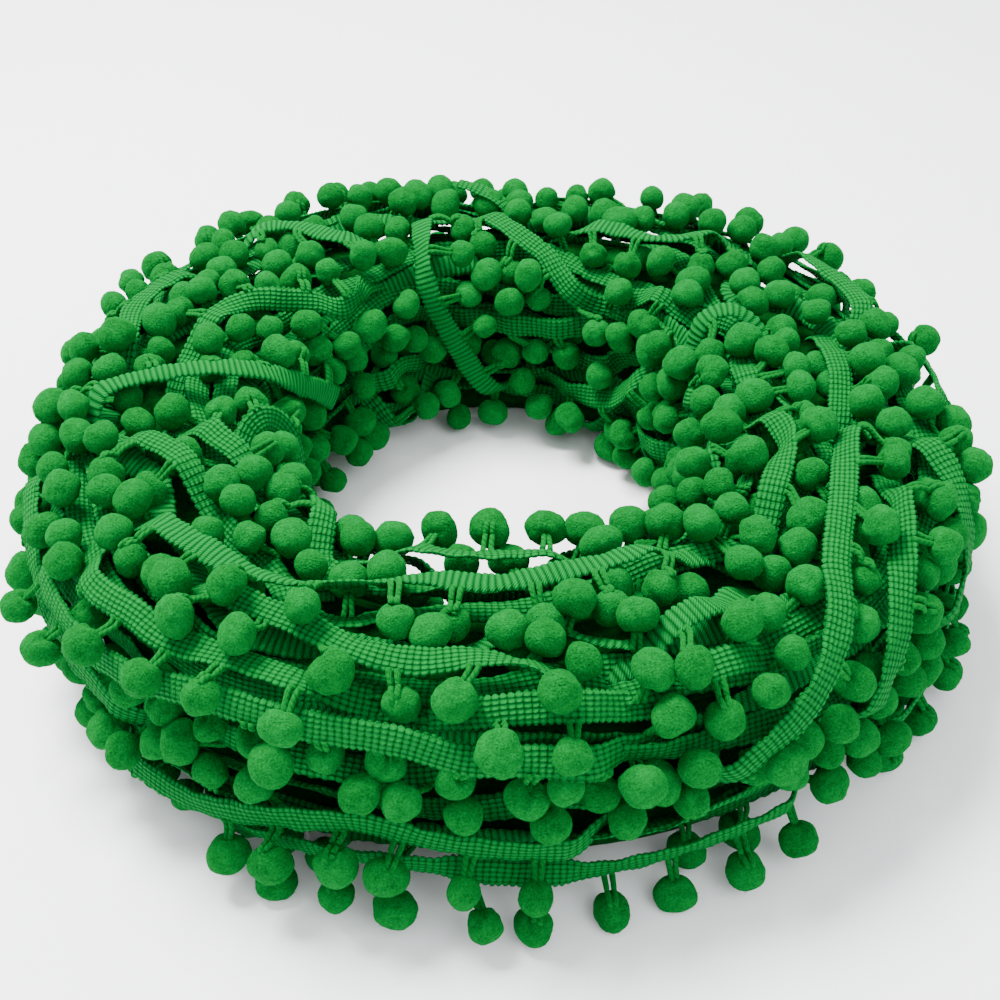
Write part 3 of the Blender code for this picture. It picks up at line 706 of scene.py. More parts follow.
def waves(u, table, rng):
    """A sum of waves along a tape, each with a start of its own."""
    return sum(height * np.sin(u / length + rng.uniform(0, 6)) for height, length in table)


def tape_mesh(points, outward, tilt, side, step, profile, top, ribbed, rng):
    """A tape with scalloped edges, slightly cupped and uneven."""
    along, across, out = tape_frames(points, outward, tilt, side)
    n = len(points)
    u = np.arange(n) * step
    scallop = np.abs(np.sin(np.pi * u / SCALLOP_PITCH))
    half = EDGE_HALF_WIDTH + SCALLOP_DEPTH * scallop + waves(u, WIDTH_WAVES, rng)
    cup = waves(u, CUP_WAVES, rng) - CUP_DEPTH
    ripple = waves(u, RIPPLE_WAVES, rng)
    frill = waves(u, FRILL_WAVES, rng)
    pv = np.array(profile)
    v = pv[None, :, 0] * half[:, None]
    lift = pv[None, :, 1] * TAPE_THICKNESS / 2 * np.ones((n, 1))
    lift = lift + cup[:, None] * pv[None, :, 0] ** 2
    lift = lift + ripple[:, None] * pv[None, :, 0]
    lift = lift + frill[:, None] * (pv[None, :, 0] ** 4 - FRILL_MIDDLE)
    lift = lift * (1 + RELIEF * (scallop[:, None] - MEAN_SCALLOP))
    m = len(profile)
    verts = (points[:, None] + across[:, None] * v[..., None] + out[:, None] * lift[..., None])
    verts = verts.reshape(-1, 3)
    i = np.arange(n - 1)[:, None] * m
    j = np.arange(m)[None, :]
    k = (j + 1) % m
    quads = np.stack([i + j, i + m + j, i + m + k, i + k], axis=-1).reshape(-1, 4)
    if side > 0:
        quads = quads[:, ::-1]
    upper = (j < top) & (i >= 0)
    kinds = np.where(upper, RIB if ribbed else WAFFLE, WAFFLE if ribbed else RIB).ravel()
    faces = quads.tolist()
    first = list(range(m))
    last = list(range((n - 1) * m, n * m))
    faces += [first[::-1] if side < 0 else first, last if side < 0 else last[::-1]]
    kinds = np.concatenate([kinds, [WAFFLE, WAFFLE]])
    maps = np.stack([np.repeat(u, m), v.ravel()], axis=-1)
    return Mesh(verts, faces, kinds, maps)


def ball_shape(cuts):
    """Points and triangles of an even ball of radius 1."""
    bm = bmesh.new()
    bmesh.ops.create_icosphere(bm, subdivisions=2, radius=1.0)
    if cuts:
        bmesh.ops.subdivide_edges(bm, edges=bm.edges, cuts=cuts, use_grid_fill=True)
    bmesh.ops.triangulate(bm, faces=bm.faces)
    bm.verts.index_update()
    points = unit(np.array([v.co[:] for v in bm.verts]))
    faces = np.array([[v.index for v in f.verts] for f in bm.faces])
    bm.free()
    return points, faces


def any_cross(axis, rng):
    """A direction square to the axis."""
    way = np.cross(axis, rng.normal(size=3))
    return unit(way)


def fibre_mesh(points, faces, centre, count, own, rng):
    """Short yarn ends that stand out of a ball, each a thin closed spike."""
    corners = points[faces[rng.integers(0, len(faces), count)]]
    share = rng.dirichlet((1.0, 1.0, 1.0), count)
    foot = (corners * share[..., None]).sum(axis=1)
    out = unit(foot - centre)
    lean = unit(out + rng.normal(size=(count, 3)) * FIBRE_SPREAD)
    side = unit(np.cross(lean, rng.normal(size=(count, 3))))
    third = np.cross(lean, side)
    tip = foot + lean * rng.uniform(0.35, 1.0, (count, 1)) * FIBRE_LENGTH
    turn = np.radians((0, 120, 240))[None, :, None]
    ring = side[:, None] * np.cos(turn) + third[:, None] * np.sin(turn)
    base = (foot - out * FIBRE_WIDTH)[:, None] + ring * FIBRE_WIDTH / 2
    verts = np.concatenate([base, tip[:, None]], axis=1).reshape(-1, 3)
    spike = np.array([(0, 2, 1), (0, 1, 3), (1, 2, 3), (2, 0, 3)])
    spikes = (np.arange(count)[:, None, None] * 4 + spike).reshape(-1, 3)
    verts[:, 2] = np.maximum(verts[:, 2], 0.0)
    maps = np.tile([own, 0.0], (len(verts), 1))
    return Mesh(verts, spikes.tolist(), np.full(len(spikes), POMPOM), maps)


def pompom_meshes(shape, centre, root, along, radius, rng, floor, fibres):
    """A felted ball, pinched by its loops where they enter it, and the fibres on it."""
    unit_points, faces = shape
    axis = unit(root - centre)
    side = unit(along - axis * (along @ axis) + any_cross(axis, rng) * 0.35)
    side = unit(side - axis * (side @ axis))
    third = np.cross(axis, side)
    turn = rng.uniform(0, 2 * np.pi, 2)
    a, b = np.cos(turn[0]), np.sin(turn[0])
    g = unit_points @ np.array([[a, -b, 0], [b, a, 0], [0, 0, 1]])
    a, b = np.cos(turn[1]), np.sin(turn[1])
    g = g @ np.array([[1, 0, 0], [0, a, -b], [0, b, a]])
    z = g @ axis
    x = g @ side
    y = g @ third
    r = np.full(len(g), radius)
    stretch = rng.uniform(*STRETCH, 2)
    r = r * (1 - FLATTENING * z ** 2 + stretch[0] * x ** 2 + stretch[1] * y ** 2)
    r = r * (1 - rng.uniform(*DIMPLES) * np.exp(-(1 - z) / DIMPLE_WIDTH))
    pinch = rng.uniform(*PINCHES)
    reach = rng.uniform(*PINCH_REACHES)
    r = r * (1 - pinch * np.exp(-(x / PINCH_WIDTH) ** 2) * gentle((z - reach) / 0.5))
    for size, amount in LUMPS:
        ways = rng.normal(size=(3, 3)) * size
        starts = rng.uniform(0, 6.3, 3)
        r = r * (1 + amount * np.sin(g @ ways.T + starts).sum(axis=1) / 1.5)
    points = centre + g * r[:, None]
    if floor:
        points[:, 2] = np.maximum(points[:, 2], 0.0)
    own = rng.uniform(0, 10)
    maps = np.stack([np.full(len(g), own), z * radius], axis=-1)
    return [Mesh(points, faces.tolist(), np.full(len(faces), POMPOM), maps),
            fibre_mesh(points, faces, centre, fibres, own, rng)]


def bend(start, leave, arrive, end, steps):
    """A curve with two guide points."""
    t = np.linspace(0, 1, steps + 1)[:, None]
    return ((1 - t) ** 3 * start + 3 * (1 - t) ** 2 * t * leave
            + 3 * (1 - t) * t ** 2 * arrive + t ** 3 * end)


def cord_mesh(line, sides):
    """One cord of a loop along a line of points."""
    along = unit(np.gradient(line, axis=0))
    side = unit(np.cross(along, np.array([0.31, 0.77, 0.55])))
    third = np.cross(along, side)
    turn = np.linspace(0, 2 * np.pi, sides, endpoint=False)
    t = np.linspace(0, 1, len(line))[:, None]
    ring = (side[:, None] * np.cos(turn)[None, :, None]
            + third[:, None] * np.sin(turn)[None, :, None])
    thick = CORD_RADIUS * (1 - 0.12 * np.sin(np.pi * t))
    verts = (line[:, None] + ring * thick[:, :, None]).reshape(-1, 3)
    n, m = len(line), sides
    i = np.arange(n - 1)[:, None] * m
    j = np.arange(m)[None, :]
    k = (j + 1) % m
    quads = np.stack([i + j, i + k, i + m + k, i + m + j], axis=-1).reshape(-1, 4)
    faces = quads.tolist()
    faces += [list(range(m))[::-1], list(range((n - 1) * m, n * m))]
    length = np.concatenate([[0], np.cumsum(np.linalg.norm(np.diff(line, axis=0), axis=1))])
    maps = np.stack([np.repeat(length, m), np.tile(turn, n)], axis=-1)
    return Mesh(verts, faces, np.full(len(faces), CORD), maps)


def loop_meshes(root, along, leave, centre, radius, rng, fine):
    """The pair of cords from the tape's edge, which pinch the pompom or run over it."""
    axis = unit(root - centre)
    found = []
    gap = np.linalg.norm(root - centre) - radius
    bulge = any_cross(axis, rng) * rng.uniform(*CORD_BULGES)
    sides = CORD_SIDES if fine else LOWER_CORD_SIDES
    steps = CORD_STEPS if fine else LOWER_CORD_STEPS
    over = unit(np.cross(along, axis))
    over = over if over[2] > 0 else -over
    wrapped = fine and rng.random() < WRAPPED_SHARE
    apart = unit(np.cross(axis, over))
    apart = apart if apart @ along > 0 else -apart
    for way in (-1, 1):
        start = root + along * way * CORD_SPACING / 2
        first = start + leave * gap * 0.5 + bulge + along * way * 0.1
        if not wrapped:
            end = centre + axis * (radius - CORD_SINK) + apart * way * CORD_CLOSE
            second = end + axis * (CORD_SINK + gap * 0.4) + bulge * 0.5
            found.append(cord_mesh(bend(start, first, second, end, steps), sides))
            continue
        touch = centre + (axis * 0.93 + over * 0.30) * (radius + 0.1) + apart * way * CORD_APART
        second = touch + axis * gap * 0.35 + over * 0.5
        line = bend(start, first, second, touch, steps)
        turns = np.linspace(0.32, rng.uniform(*WRAP_ENDS), steps)[1:, None]
        wrap = centre + (axis * np.cos(turns) + over * np.sin(turns)) * (radius + 0.12)
        ease = np.linspace(0, 1, len(turns))[:, None]
        wrap = wrap + apart * way * (CORD_APART - CORD_GATHER * ease) - over * 0.9 * ease ** 3
        found.append(cord_mesh(np.vstack([line, wrap]), sides))
    return found


def piece(name, meshes, materials, shift):
    """One object from several meshes."""
    points = np.vstack([m.points for m in meshes])
    faces = []
    base = 0
    for m in meshes:
        faces += [[v + base for v in face] for face in m.faces]
        base += len(m.points)
    kinds = np.concatenate([m.slots for m in meshes])
    maps = np.vstack([m.maps for m in meshes])
    data = bpy.data.meshes.new(name)
    data.from_pydata(((points + shift) * MM).tolist(), [], faces)
    used = sorted(set(kinds.tolist()))
    for kind in used:
        data.materials.append(materials[kind])
    order = np.zeros(4, int)
    order[used] = np.arange(len(used))
    data.polygons.foreach_set("material_index", order[kinds])
    layer = data.uv_layers.new(name="yarn")
    corners = np.zeros(len(data.loops), int)
    data.loops.foreach_get("vertex_index", corners)
    layer.data.foreach_set("uv", maps[corners].astype(np.float32).ravel())
    data.polygons.foreach_set("use_smooth", np.ones(len(data.polygons), bool))
    data.update()
    obj = bpy.data.objects.new(name, data)
    bpy.context.scene.collection.objects.link(obj)
    return obj


def claim(obj, *nodes):
    """The piece rides on the ring and stands for the nodes, whose CAD parts it hides."""
    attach(obj, "root")
    if nodes:
        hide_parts(*nodes)


class Nodes:
    """A short way to build a material's nodes."""

    def __init__(self, name):
        self.material = bpy.data.materials.new(name)
        self.material.use_nodes = True
        self.tree = self.material.node_tree
        self.shader = self.tree.nodes["Principled BSDF"]

    def add(self, kind, **values):
        """A node with its plain values set."""
        node = self.tree.nodes.new(kind)
        for key, value in values.items():
            setattr(node, key, value)
        return node

    def join(self, source, target):
        """A link."""
        self.tree.links.new(source, target)

    def put(self, socket, value):
        """A value or a link into a socket."""
        if isinstance(value, bpy.types.NodeSocket):
            self.join(value, socket)
        else:
            socket.default_value = value

    def math(self, operation, a, b=0.0, clamp=False):
        """A Math node's result."""
        node = self.add("ShaderNodeMath", operation=operation, use_clamp=clamp)
        self.put(node.inputs[0], a)
        self.put(node.inputs[1], b)
        return node.outputs[0]

    def noise(self, scale, detail=3.0, stretch=(1, 1, 1)):
        """Noise in the object's own space, with a scale for each metre."""
        place = self.add("ShaderNodeTexCoord").outputs["Object"]
        mapping = self.add("ShaderNodeMapping")
        mapping.inputs["Scale"].default_value = stretch
        self.join(place, mapping.inputs["Vector"])
        node = self.add("ShaderNodeTexNoise")
        node.inputs["Scale"].default_value = scale
        node.inputs["Detail"].default_value = detail
        node.inputs["Roughness"].default_value = 0.6
        self.join(mapping.outputs[0], node.inputs["Vector"])
        return node.outputs[0]

    def ramp(self, value, stops):
        """A colour ramp's colour."""
        node = self.add("ShaderNodeValToRGB")
        ramp = node.color_ramp
        while len(ramp.elements) < len(stops):
            ramp.elements.new(0.5)
        for element, (place, colour) in zip(ramp.elements, stops):
            element.position = place
            element.color = (*colour, 1.0)
        self.put(node.inputs[0], value)
        return node.outputs[0]

    def maps(self):
        """The yarn map's two numbers, in millimetres."""
        node = self.add("ShaderNodeUVMap", uv_map="yarn")
        split = self.add("ShaderNodeSeparateXYZ")
        self.join(node.outputs[0], split.inputs[0])
        return split.outputs[0], split.outputs[1]

    def bump(self, height, distance, strength=1.0, after=None):
        """A bump of a real height in metres."""
        node = self.add("ShaderNodeBump")
        node.inputs["Strength"].default_value = strength
        node.inputs["Distance"].default_value = distance
        self.join(height, node.inputs["Height"])
        if after is not None:
            self.join(after, node.inputs["Normal"])
        return node.outputs[0]

    def finish(self, colour, normal, roughness, sheen):
        """The shader's own settings."""
        self.join(colour, self.shader.inputs["Base Color"])
        self.join(normal, self.shader.inputs["Normal"])
        self.shader.inputs["Roughness"].default_value = roughness
        self.shader.inputs["Specular IOR Level"].default_value = 0.03
        self.shader.inputs["Sheen Weight"].default_value = sheen
        self.shader.inputs["Sheen Roughness"].default_value = 0.5
        self.shader.inputs["Sheen Tint"].default_value = (0.0, 0.5, 0.06, 1.0)
        return self.material


def pompom_material():
    """Felted yarn ends: matte, mottled, with short fibres."""
    n = Nodes("pompom_felt")
    own, _ = n.maps()
    coarse = n.noise(420.0, 3.0)
    fine = n.noise(2300.0, 3.0)
    fibres = n.noise(1500.0, 2.0, (1.0, 2.0, 0.6))
    tone = n.math("ADD", n.math("MULTIPLY", coarse, 0.35), n.math("MULTIPLY", fine, 0.75))
    shade = n.math("MULTIPLY", n.math("SINE", n.math("MULTIPLY", own, 7.3)), 0.04)
    tone = n.math("ADD", tone, shade)
    colour = n.ramp(tone, ((0.32, POMPOM_DARK), (0.54, POMPOM_MID), (0.82, POMPOM_LIGHT)))
    normal = n.bump(coarse, 0.0007, 0.7)
    normal = n.bump(fibres, 0.0004, 0.8, normal)
    normal = n.bump(fine, 0.0004, 1.0, normal)
    return n.finish(colour, normal, 1.0, 0.2)


def grooves(n, value, pitch, sharp):
    """A row of rounded ridges across a map's number, from 0 in the grooves to 1."""
    wave = n.math("SINE", n.math("MULTIPLY", value, math.pi / pitch))
    return n.math("POWER", n.math("ABSOLUTE", wave), sharp)


def waffle_material():
    """The tape's waffle face: raised square floats and pits between them, with painted shade
    darkening the pits and painted light on the floats.
    """
    n = Nodes("tape_waffle")
    u, v = n.maps()
    wobble = n.math("MULTIPLY", n.math("SUBTRACT", n.noise(300.0, 2.0), 0.5), 0.7)
    u = n.math("ADD", u, wobble)
    v = n.math("ADD", v, n.math("MULTIPLY", wobble, 0.35))
    rows = grooves(n, v, WAFFLE_ACROSS, 0.8)
    columns = grooves(n, u, SCALLOP_PITCH, 0.8)
    painted_pit_shade = n.math("MULTIPLY", n.math("SUBTRACT", 1.0, rows), n.math("SUBTRACT", 1.0, columns))
    floats = n.math("MULTIPLY", rows, columns)
    strands = grooves(n, u, SCALLOP_PITCH / 3, 0.5)
    height = n.math("ADD", n.math("ADD", n.math("MULTIPLY", floats, 0.8),
                                  n.math("MULTIPLY", rows, 0.15)),
                    n.math("MULTIPLY", strands, 0.15))
    fuzz = n.noise(2500.0, 3.0)
    # Painted light and shade: the raised floats and columns are lightened and the pits darkened,
    # over a random fuzz tone.
    tone = n.math("ADD", n.math("MULTIPLY", floats, 0.30), n.math("MULTIPLY", fuzz, 0.75))
    tone = n.math("ADD", tone, n.math("MULTIPLY", columns, 0.08))
    tone = n.math("SUBTRACT", tone, n.math("MULTIPLY", painted_pit_shade, 0.75))
    colour = n.ramp(tone, ((0.06, TAPE_SHADED), (0.42, TAPE_MID), (0.92, TAPE_LIT)))
    normal = n.bump(height, 0.00055, 0.9)
    normal = n.bump(fuzz, 0.00012, 0.6, normal)
    return n.finish(colour, normal, 0.8, 0.2)


def rib_material():
    """The tape's other face: plied cords that run across it, with painted light on the rib crowns
    and painted shade in the grooves between them.
    """
    n = Nodes("tape_ribs")
    u, v = n.maps()
    wobble = n.math("MULTIPLY", n.math("SUBTRACT", n.noise(260.0, 2.0), 0.5), 0.9)
    u = n.math("ADD", u, n.math("MULTIPLY", wobble, 0.5))
    ribs = grooves(n, u, SCALLOP_PITCH, 0.9)
    twist = grooves(n, n.math("ADD", n.math("MULTIPLY", u, 1.1), v), 0.75, 0.7)
    height = n.math("ADD", ribs, n.math("MULTIPLY", twist, 0.35))
    fuzz = n.noise(2500.0, 3.0)
    # Painted light and shade: the rib and twist crowns are lightened and the grooves between them
    # darkened, over a random fuzz tone.
    tone = n.math("ADD", n.math("MULTIPLY", ribs, 0.6), n.math("MULTIPLY", twist, 0.22))
    tone = n.math("ADD", tone, n.math("MULTIPLY", fuzz, 0.3))
    colour = n.ramp(tone, ((0.2, TAPE_SHADED), (0.6, TAPE_MID), (1.0, TAPE_LIT)))
    normal = n.bump(height, 0.0006, 0.9)
    normal = n.bump(fuzz, 0.00012, 0.6, normal)
    return n.finish(colour, normal, 0.8, 0.2)


def cord_material():
    """Plied loop cords, with painted light on the plies' crowns and painted shade in the grooves
    between them.
    """
    n = Nodes("loop_cord")
    u, v = n.maps()
    lay = n.math("ADD", n.math("MULTIPLY", u, 2.4), v)
    plies = n.math("ABSOLUTE", n.math("SINE", lay))
    fuzz = n.noise(2600.0, 3.0)
    # Painted light and shade: the plies' crowns are lightened and the grooves between them
    # darkened, over a random fuzz tone.
    tone = n.math("ADD", n.math("MULTIPLY", plies, 0.35), n.math("MULTIPLY", fuzz, 0.6))
    colour = n.ramp(tone, ((0.1, TAPE_SHADED), (0.4, CORD_MID), (0.95, CORD_LIT)))
    normal = n.bump(plies, 0.0002, 0.6)
    normal = n.bump(fuzz, 0.00012, 0.6, normal)
    return n.finish(colour, normal, 0.85, 0.25)


def deep_shade_material():
    """The innermost turns, which only show between the others, coloured a dark green far below
    the tape's own green as painted shade.
    """
    n = Nodes("shaded_deep_turns")
    fine = n.noise(900.0, 4.0)
    coarse = n.noise(160.0, 2.0)
    tone = n.math("ADD", n.math("MULTIPLY", coarse, 0.5), n.math("MULTIPLY", fine, 0.5))
    # Painted shade: a near black green in place of the tape's own green; the noise in it is
    # random tone.
    colour = n.ramp(tone, ((0.3, DEEP_SHADE_DARK), (0.7, DEEP_SHADE_LIGHT)))
    normal = n.bump(fine, 0.0008, 0.9)
    return n.finish(colour, normal, 0.95, 0.1)


def deep_mesh():
    """The innermost turns as a ridged ring, whose flat underside is that of the wound form."""
    angles = np.linspace(0, 360, DEEP_SEGMENTS, endpoint=False)
    turns = np.linspace(0, 360, DEEP_SIDES, endpoint=False)
    a, s = np.meshgrid(angles, turns, indexing="ij")
    rows = ring_rows(a.ravel(), s.ravel())
    low = np.clip(-np.sin(np.radians(rows[:, 5])), 0, 1)
    wave = DEEP_RIDGES * np.radians(rows[:, 5]) + 3 * np.sin(np.radians(rows[:, 0] * 2))
    ridge = DEEP_RIDGE_HEIGHT * (np.abs(np.cos(wave / 2)) - 0.5)
    base = core_lift(rows[:, 0], rows[:, 5])
    lift = DEEP_LIFT + (base - DEEP_LIFT) * gentle(low / 0.8) + ridge
    points, _ = to_world(rows, lift)
    sunk = np.minimum(np.sin(np.radians(rows[:, 5])), 0)
    points[:, 2] = np.maximum(points[:, 2] - BASE_DROP * sunk ** 4, 0)
    n, m = DEEP_SEGMENTS, DEEP_SIDES
    i = np.arange(n)[:, None]
    j = np.arange(m)[None, :]
    quads = np.stack([i * m + j, (i + 1) % n * m + j, (i + 1) % n * m + (j + 1) % m,
                      i * m + (j + 1) % m], axis=-1).reshape(-1, 4)
    maps = np.stack([a.ravel(), s.ravel()], axis=-1)
    return Mesh(points, quads.tolist(), np.zeros(len(quads), int), maps)


class SoftLayout:
    """Places the pompoms of the lower turns, which press into their neighbours a little."""

    def __init__(self, deep_tree, tape_points, balls):
        self.deep = deep_tree
        self.tapes = KDTree(len(tape_points))
        for i, point in enumerate(tape_points):
            self.tapes.insert(point, i)
        self.tapes.balance()
        self.balls = np.array(balls)

    def hang(self, edge, across, out, along):
        """The best free place near a tape's edge."""
        best = None
        for swing in LOWER_SWINGS:
            for lean in LOWER_LEANS:
                s, n = math.radians(swing), math.radians(lean)
                way = across * math.cos(s) + out * math.sin(s)
                way = way * math.cos(n) + along * math.sin(n)
                for reach in LOWER_REACHES:
                    centre = edge + way * reach
                    _, _, _, depth = self.deep.find_nearest(Vector(centre))
                    cost = abs(depth - LOWER_HEIGHT) + abs(lean) * LEAN_COST
                    if best is not None and cost >= best[0]:
                        continue
                    if self.fits(centre, depth):
                        best = (cost, centre)
        return best

    def fits(self, centre, depth):
        """Whether a pompom there presses into nothing by more than a little."""
        if centre[2] < POMPOM_RADIUS + FLOOR_ROOM or depth < POMPOM_RADIUS - DEEP_SINK:
            return False
        if self.tapes.find(centre)[2] < POMPOM_RADIUS + TAPE_ROOM:
            return False
        gap = np.linalg.norm(self.balls[:, :3] - centre, axis=1) - self.balls[:, 3]
        return gap.min() >= POMPOM_RADIUS - SOFT_SQUASH

    def add(self, centre):
        """Keeps a place for a pompom."""
        self.balls = np.vstack([self.balls, [*centre, POMPOM_RADIUS]])


def lower_path(turn, step):
    """Points, outward directions and tilts of a lower turn, once round the ring."""
    angles = np.linspace(0, 360, 361)
    t = np.radians(angles)
    wander = (np.sin(turn.waves * t + math.radians(turn.start)) * turn.wander
              + np.sin((2 * turn.waves + 3) * t + turn.start) * turn.wander * FINE_WANDER)
    rows = ring_rows(angles, turn.turn + wander)
    lift = turn.lift + LOWER_SWELL * np.sin((turn.waves + 2) * t + turn.start)
    tilt = LOWER_TWIST * np.sin((turn.waves + 1) * t + turn.start * 0.7) + LOWER_TILT
    rough, _ = to_world(rows, lift)
    done = np.concatenate([[0], np.cumsum(np.linalg.norm(np.diff(rough, axis=0), axis=1))])
    table, _ = resample(np.column_stack([rows, lift, tilt]), done, step)
    points, outward = to_world(table, table[:, 6])
    return points, outward, table[:, 7]


def tape_samples(points, across):
    """Points over a tape that stand for it in soft tests."""
    return [p + a * w for p, a in zip(points, across) for w in SAMPLE_PLACES]


def make_upper_turns(placed, core_tree, materials, shift, rng):
    """Makes the runs of the CAD model, and returns points over their tapes for soft tests."""
    fine_ball = ball_shape(2)
    tape_points = []
    for run in RUNS:
        points, outward, tilt = path_of(run, core_tree, FINE_STEP)
        points, outward, tilt = with_tails(points, outward, tilt, FINE_STEP)
        meshes = [tape_mesh(points, outward, tilt, run.side, FINE_STEP, PROFILE, PROFILE_TOP,
                            run.name in RIBBED, rng)]
        along, across, _ = tape_frames(points, outward, tilt, run.side)
        tape_points += tape_samples(points[::4], across[::4])
        for pompom in placed[run.name]:
            radius = rng.uniform(*BALL_RADII)
            floor = pompom.centre[2] < POMPOM_RADIUS
            nearest = np.argmin(np.linalg.norm(points - pompom.root, axis=1))
            root = points[nearest] + across[nearest] * (EDGE_HALF_WIDTH - ROOT_INSET)
            meshes += pompom_meshes(fine_ball, pompom.centre, root, along[nearest], radius, rng,
                                    floor, FIBRES)
            meshes += loop_meshes(root, along[nearest], across[nearest], pompom.centre, radius,
                                  rng, True)
        claim(piece("turn_" + run.name, meshes, materials, shift), "fringe_" + run.name)
    return tape_points


LowerTape = namedtuple("LowerTape", "turn points outward tilt along across out pompoms")


def lay_lower_tapes():
    """The tapes of the lower turns, with no pompoms yet."""
    tapes = []
    for turn in LOWER_TURNS:
        points, outward, tilt = lower_path(turn, LOWER_STEP)
        along, across, out = tape_frames(points, outward, tilt, turn.side)
        tapes.append(LowerTape(turn, points, outward, tilt, along, across, out, []))
    return tapes


def hang_pompoms(tapes, soft):
    """Hangs a pompom at each loop of the lower tapes that has room for one."""
    pitch = POMPOM_PITCH / LOWER_STEP
    for tape in tapes:
        for at in np.arange(pitch / 2, len(tape.points) - 1, pitch).astype(int):
            edge = tape.points[at] + tape.across[at] * EDGE_HALF_WIDTH
            best = soft.hang(edge, tape.across[at], tape.out[at], tape.along[at])
            if best is not None:
                soft.add(best[1])
                tape.pompoms.append((at, best[1]))


def fill_gaps(tapes, soft, rng):
    """Puts more pompoms where there is room, each on the tape whose edge is nearest."""
    edges = np.vstack([t.points + t.across * (EDGE_HALF_WIDTH - ROOT_INSET) for t in tapes])
    owners = np.concatenate([np.full(len(t.points), i) for i, t in enumerate(tapes)])
    stops = np.concatenate([np.arange(len(t.points)) for t in tapes])
    total = sum(len(t.pompoms) for t in tapes)
    for _ in range(FILL_TRIES):
        if total >= MOST_LOWER:
            break
        row = ring_rows(rng.uniform(0, 360), rng.uniform(*FILL_TURNS))
        centre, _ = to_world(row, rng.uniform(*FILL_LIFTS))
        if not soft.fits(centre, soft.deep.find_nearest(Vector(centre))[3]):
            continue
        away = np.linalg.norm(edges - centre, axis=1)
        near = int(np.argmin(away))
        if away[near] > FILL_REACH or away[near] < POMPOM_RADIUS:
            continue
        soft.add(centre)
        tapes[owners[near]].pompoms.append((stops[near], centre))
        total += 1


def make_lower_turns(tapes, materials, shift, rng):
    """One piece for each lower turn, with its pompoms."""
    plain_ball = ball_shape(1)
    for number, tape in enumerate(tapes):
        meshes = [tape_mesh(tape.points, tape.outward, tape.tilt, tape.turn.side, LOWER_STEP,
                            LOWER_PROFILE, LOWER_PROFILE_TOP, number % 3 == 1, rng)]
        for at, centre in tape.pompoms:
            radius = rng.uniform(*BALL_RADII)
            along, across = tape.along[at], tape.across[at]
            root = tape.points[at] + across * (EDGE_HALF_WIDTH - ROOT_INSET)
            meshes += pompom_meshes(plain_ball, centre, root, along, radius, rng, False,
                                    LOWER_FIBRES)
            meshes += loop_meshes(root, along, across, centre, radius, rng, False)
        obj = piece("lower_turn_%d" % (number + 1), meshes, materials, shift)
        claim(obj, "wound_form")


def build_ring():
    """Makes the ring.

    Returns its move into the frame in millimetres, its finishes, the wound form's tree and the
    random source.
    """
    rng = np.random.default_rng(SEED)
    core = core_mesh()
    core_tree = BVHTree.FromBMesh(core)
    corners = np.array([v.co[:] for v in core.verts])
    low = np.array(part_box("wound_form")[0]) / MM
    shift = low - corners.min(axis=0)
    core.free()

    traces = {run.name: trace_run(run, core_tree) for run in RUNS}
    traces["end"] = trace_end(core_tree)
    layout = Layout(traces, core_tree)
    placed = {run.name: layout.place(run, traces[run.name]) for run in RUNS}
    materials = [pompom_material(), waffle_material(), rib_material(), cord_material()]
    tape_points = make_upper_turns(placed, core_tree, materials, shift, rng)

    deep = deep_mesh()
    deep_tree = BVHTree.FromPolygons(deep.points.tolist(), deep.faces)
    tapes = lay_lower_tapes()
    for tape in tapes:
        tape_points += tape_samples(tape.points[::3], tape.across[::3])
    balls = [[*p.centre, POMPOM_RADIUS] for group in placed.values() for p in group]
    soft = SoftLayout(deep_tree, tape_points, balls)
    hang_pompoms(tapes, soft)
    fill_gaps(tapes, soft, rng)
    make_lower_turns(tapes, materials, shift, rng)
    # The innermost turns, coloured dark as painted shade.
    inside = piece("shaded_deep_turns", [deep], [deep_shade_material()] * 4, shift)
    claim(inside, "wound_form")
    return shift, materials, core_tree, rng


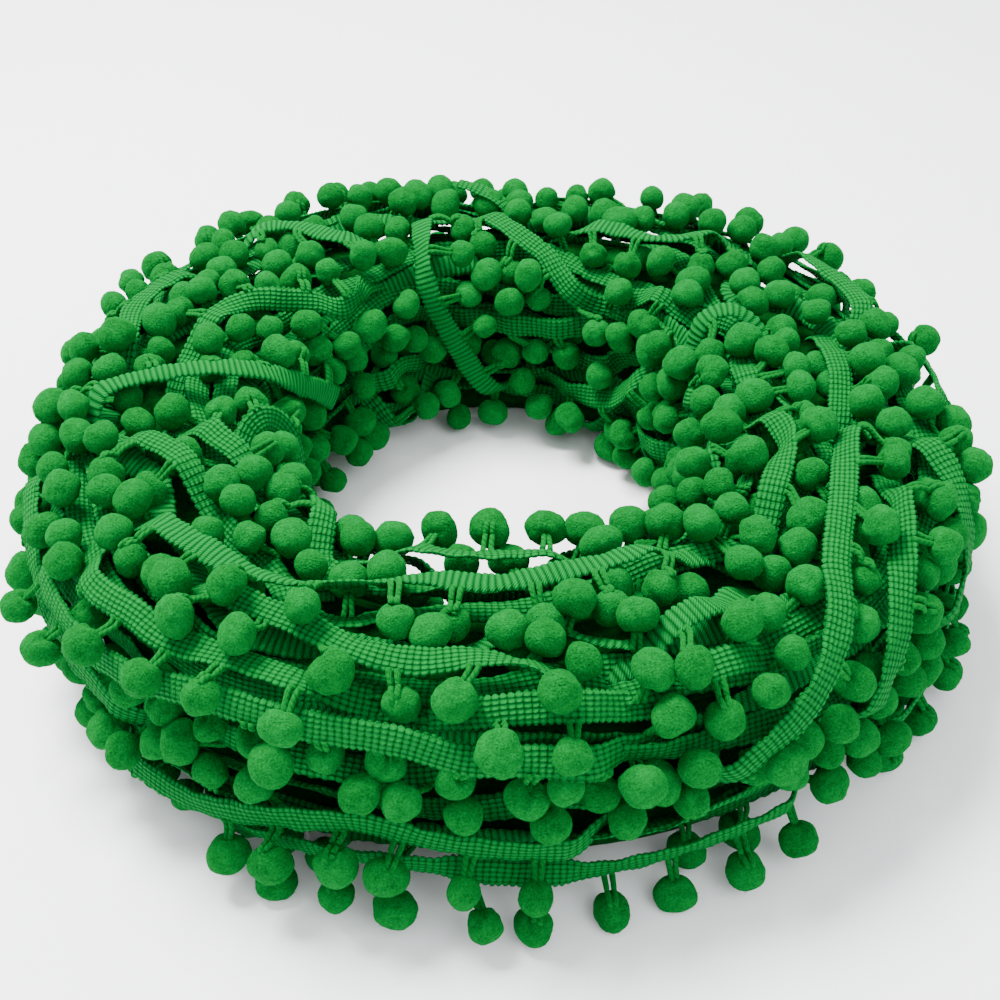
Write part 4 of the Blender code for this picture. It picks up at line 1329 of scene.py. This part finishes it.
def build_end(shift, core_tree, materials, rng):
    """The end of the tape, cut square, which stands up at the back."""
    steps = 60 * len(END_ROUTE)
    angles, turns = np.array(END_ROUTE, float).T
    rows = smooth(ring_rows(angles, turns), steps)
    seat = seat_lift(end_rows(rows[0], rows[1]), core_tree)
    points, outward = to_world(rows, seat + smooth(END_RISE, steps)[:, 0])
    done = np.concatenate([[0], np.cumsum(np.linalg.norm(np.diff(points, axis=0), axis=1))])
    table, _ = resample(np.column_stack([points, outward]), done, FINE_STEP)
    points, outward = table[:, :3], table[:, 3:]
    tilt = np.zeros(len(points))
    count = int(TAIL_LENGTH / FINE_STEP)
    points, outward, tilt = with_tails(points, outward, tilt, FINE_STEP)
    points, outward, tilt = points[:-count], outward[:-count], tilt[:-count]
    mesh = tape_mesh(points, outward, tilt, 1, FINE_STEP, PROFILE, PROFILE_TOP, False, rng)
    obj = piece("tape_end", [mesh], materials, shift)
    claim(obj, "loose_end")


def plain_material(name, colour, roughness):
    """A plain finish for the floor."""
    n = Nodes(name)
    grain = n.noise(40.0, 2.0)
    light = tuple(min(c * 1.01, 1.0) for c in colour)
    n.join(n.ramp(grain, ((0.3, colour), (0.7, light))), n.shader.inputs["Base Color"])
    n.shader.inputs["Roughness"].default_value = roughness
    n.shader.inputs["Specular IOR Level"].default_value = 0.2
    return n.material


def build_stage(shift):
    """Floor, soft light and the camera."""
    bm = bmesh.new()
    bmesh.ops.create_grid(bm, x_segments=1, y_segments=1, size=3.0)
    data = bpy.data.meshes.new("floor")
    bm.to_mesh(data)
    bm.free()
    data.materials.append(plain_material("pale_floor", FLOOR_COLOUR, 0.6))
    floor = bpy.data.objects.new("floor", data)
    bpy.context.scene.collection.objects.link(floor)

    world = bpy.data.worlds.new("studio")
    world.use_nodes = True
    background = world.node_tree.nodes["Background"]
    background.inputs["Color"].default_value = WORLD_COLOUR
    background.inputs["Strength"].default_value = WORLD_STRENGTH
    bpy.context.scene.world = world
    for name, place, size, energy, colour in LIGHTS:
        light = bpy.data.lights.new(name, "AREA")
        light.shape = "DISK"
        light.size = size
        light.energy = energy
        light.color = colour
        lamp = bpy.data.objects.new(name, light)
        lamp.location = place
        lamp.rotation_euler = (-Vector(place)).to_track_quat("-Z", "Y").to_euler()
        bpy.context.scene.collection.objects.link(lamp)

    data = bpy.data.cameras.new("camera")
    data.lens = LENS
    data.sensor_width = SENSOR
    data.clip_start = 0.01
    camera = bpy.data.objects.new("camera", data)
    camera.location = (Vector((CAMERA_X, CAMERA_Y, CAMERA_Z)) + Vector(shift)) * MM
    camera.rotation_euler = (math.radians(90 - CAMERA_TILT), 0, 0)
    bpy.context.scene.collection.objects.link(camera)
    bpy.context.scene.camera = camera


ring_shift, ring_materials, ring_core, ring_rng = build_ring()
build_end(ring_shift, ring_core, ring_materials, ring_rng)
build_stage(ring_shift)
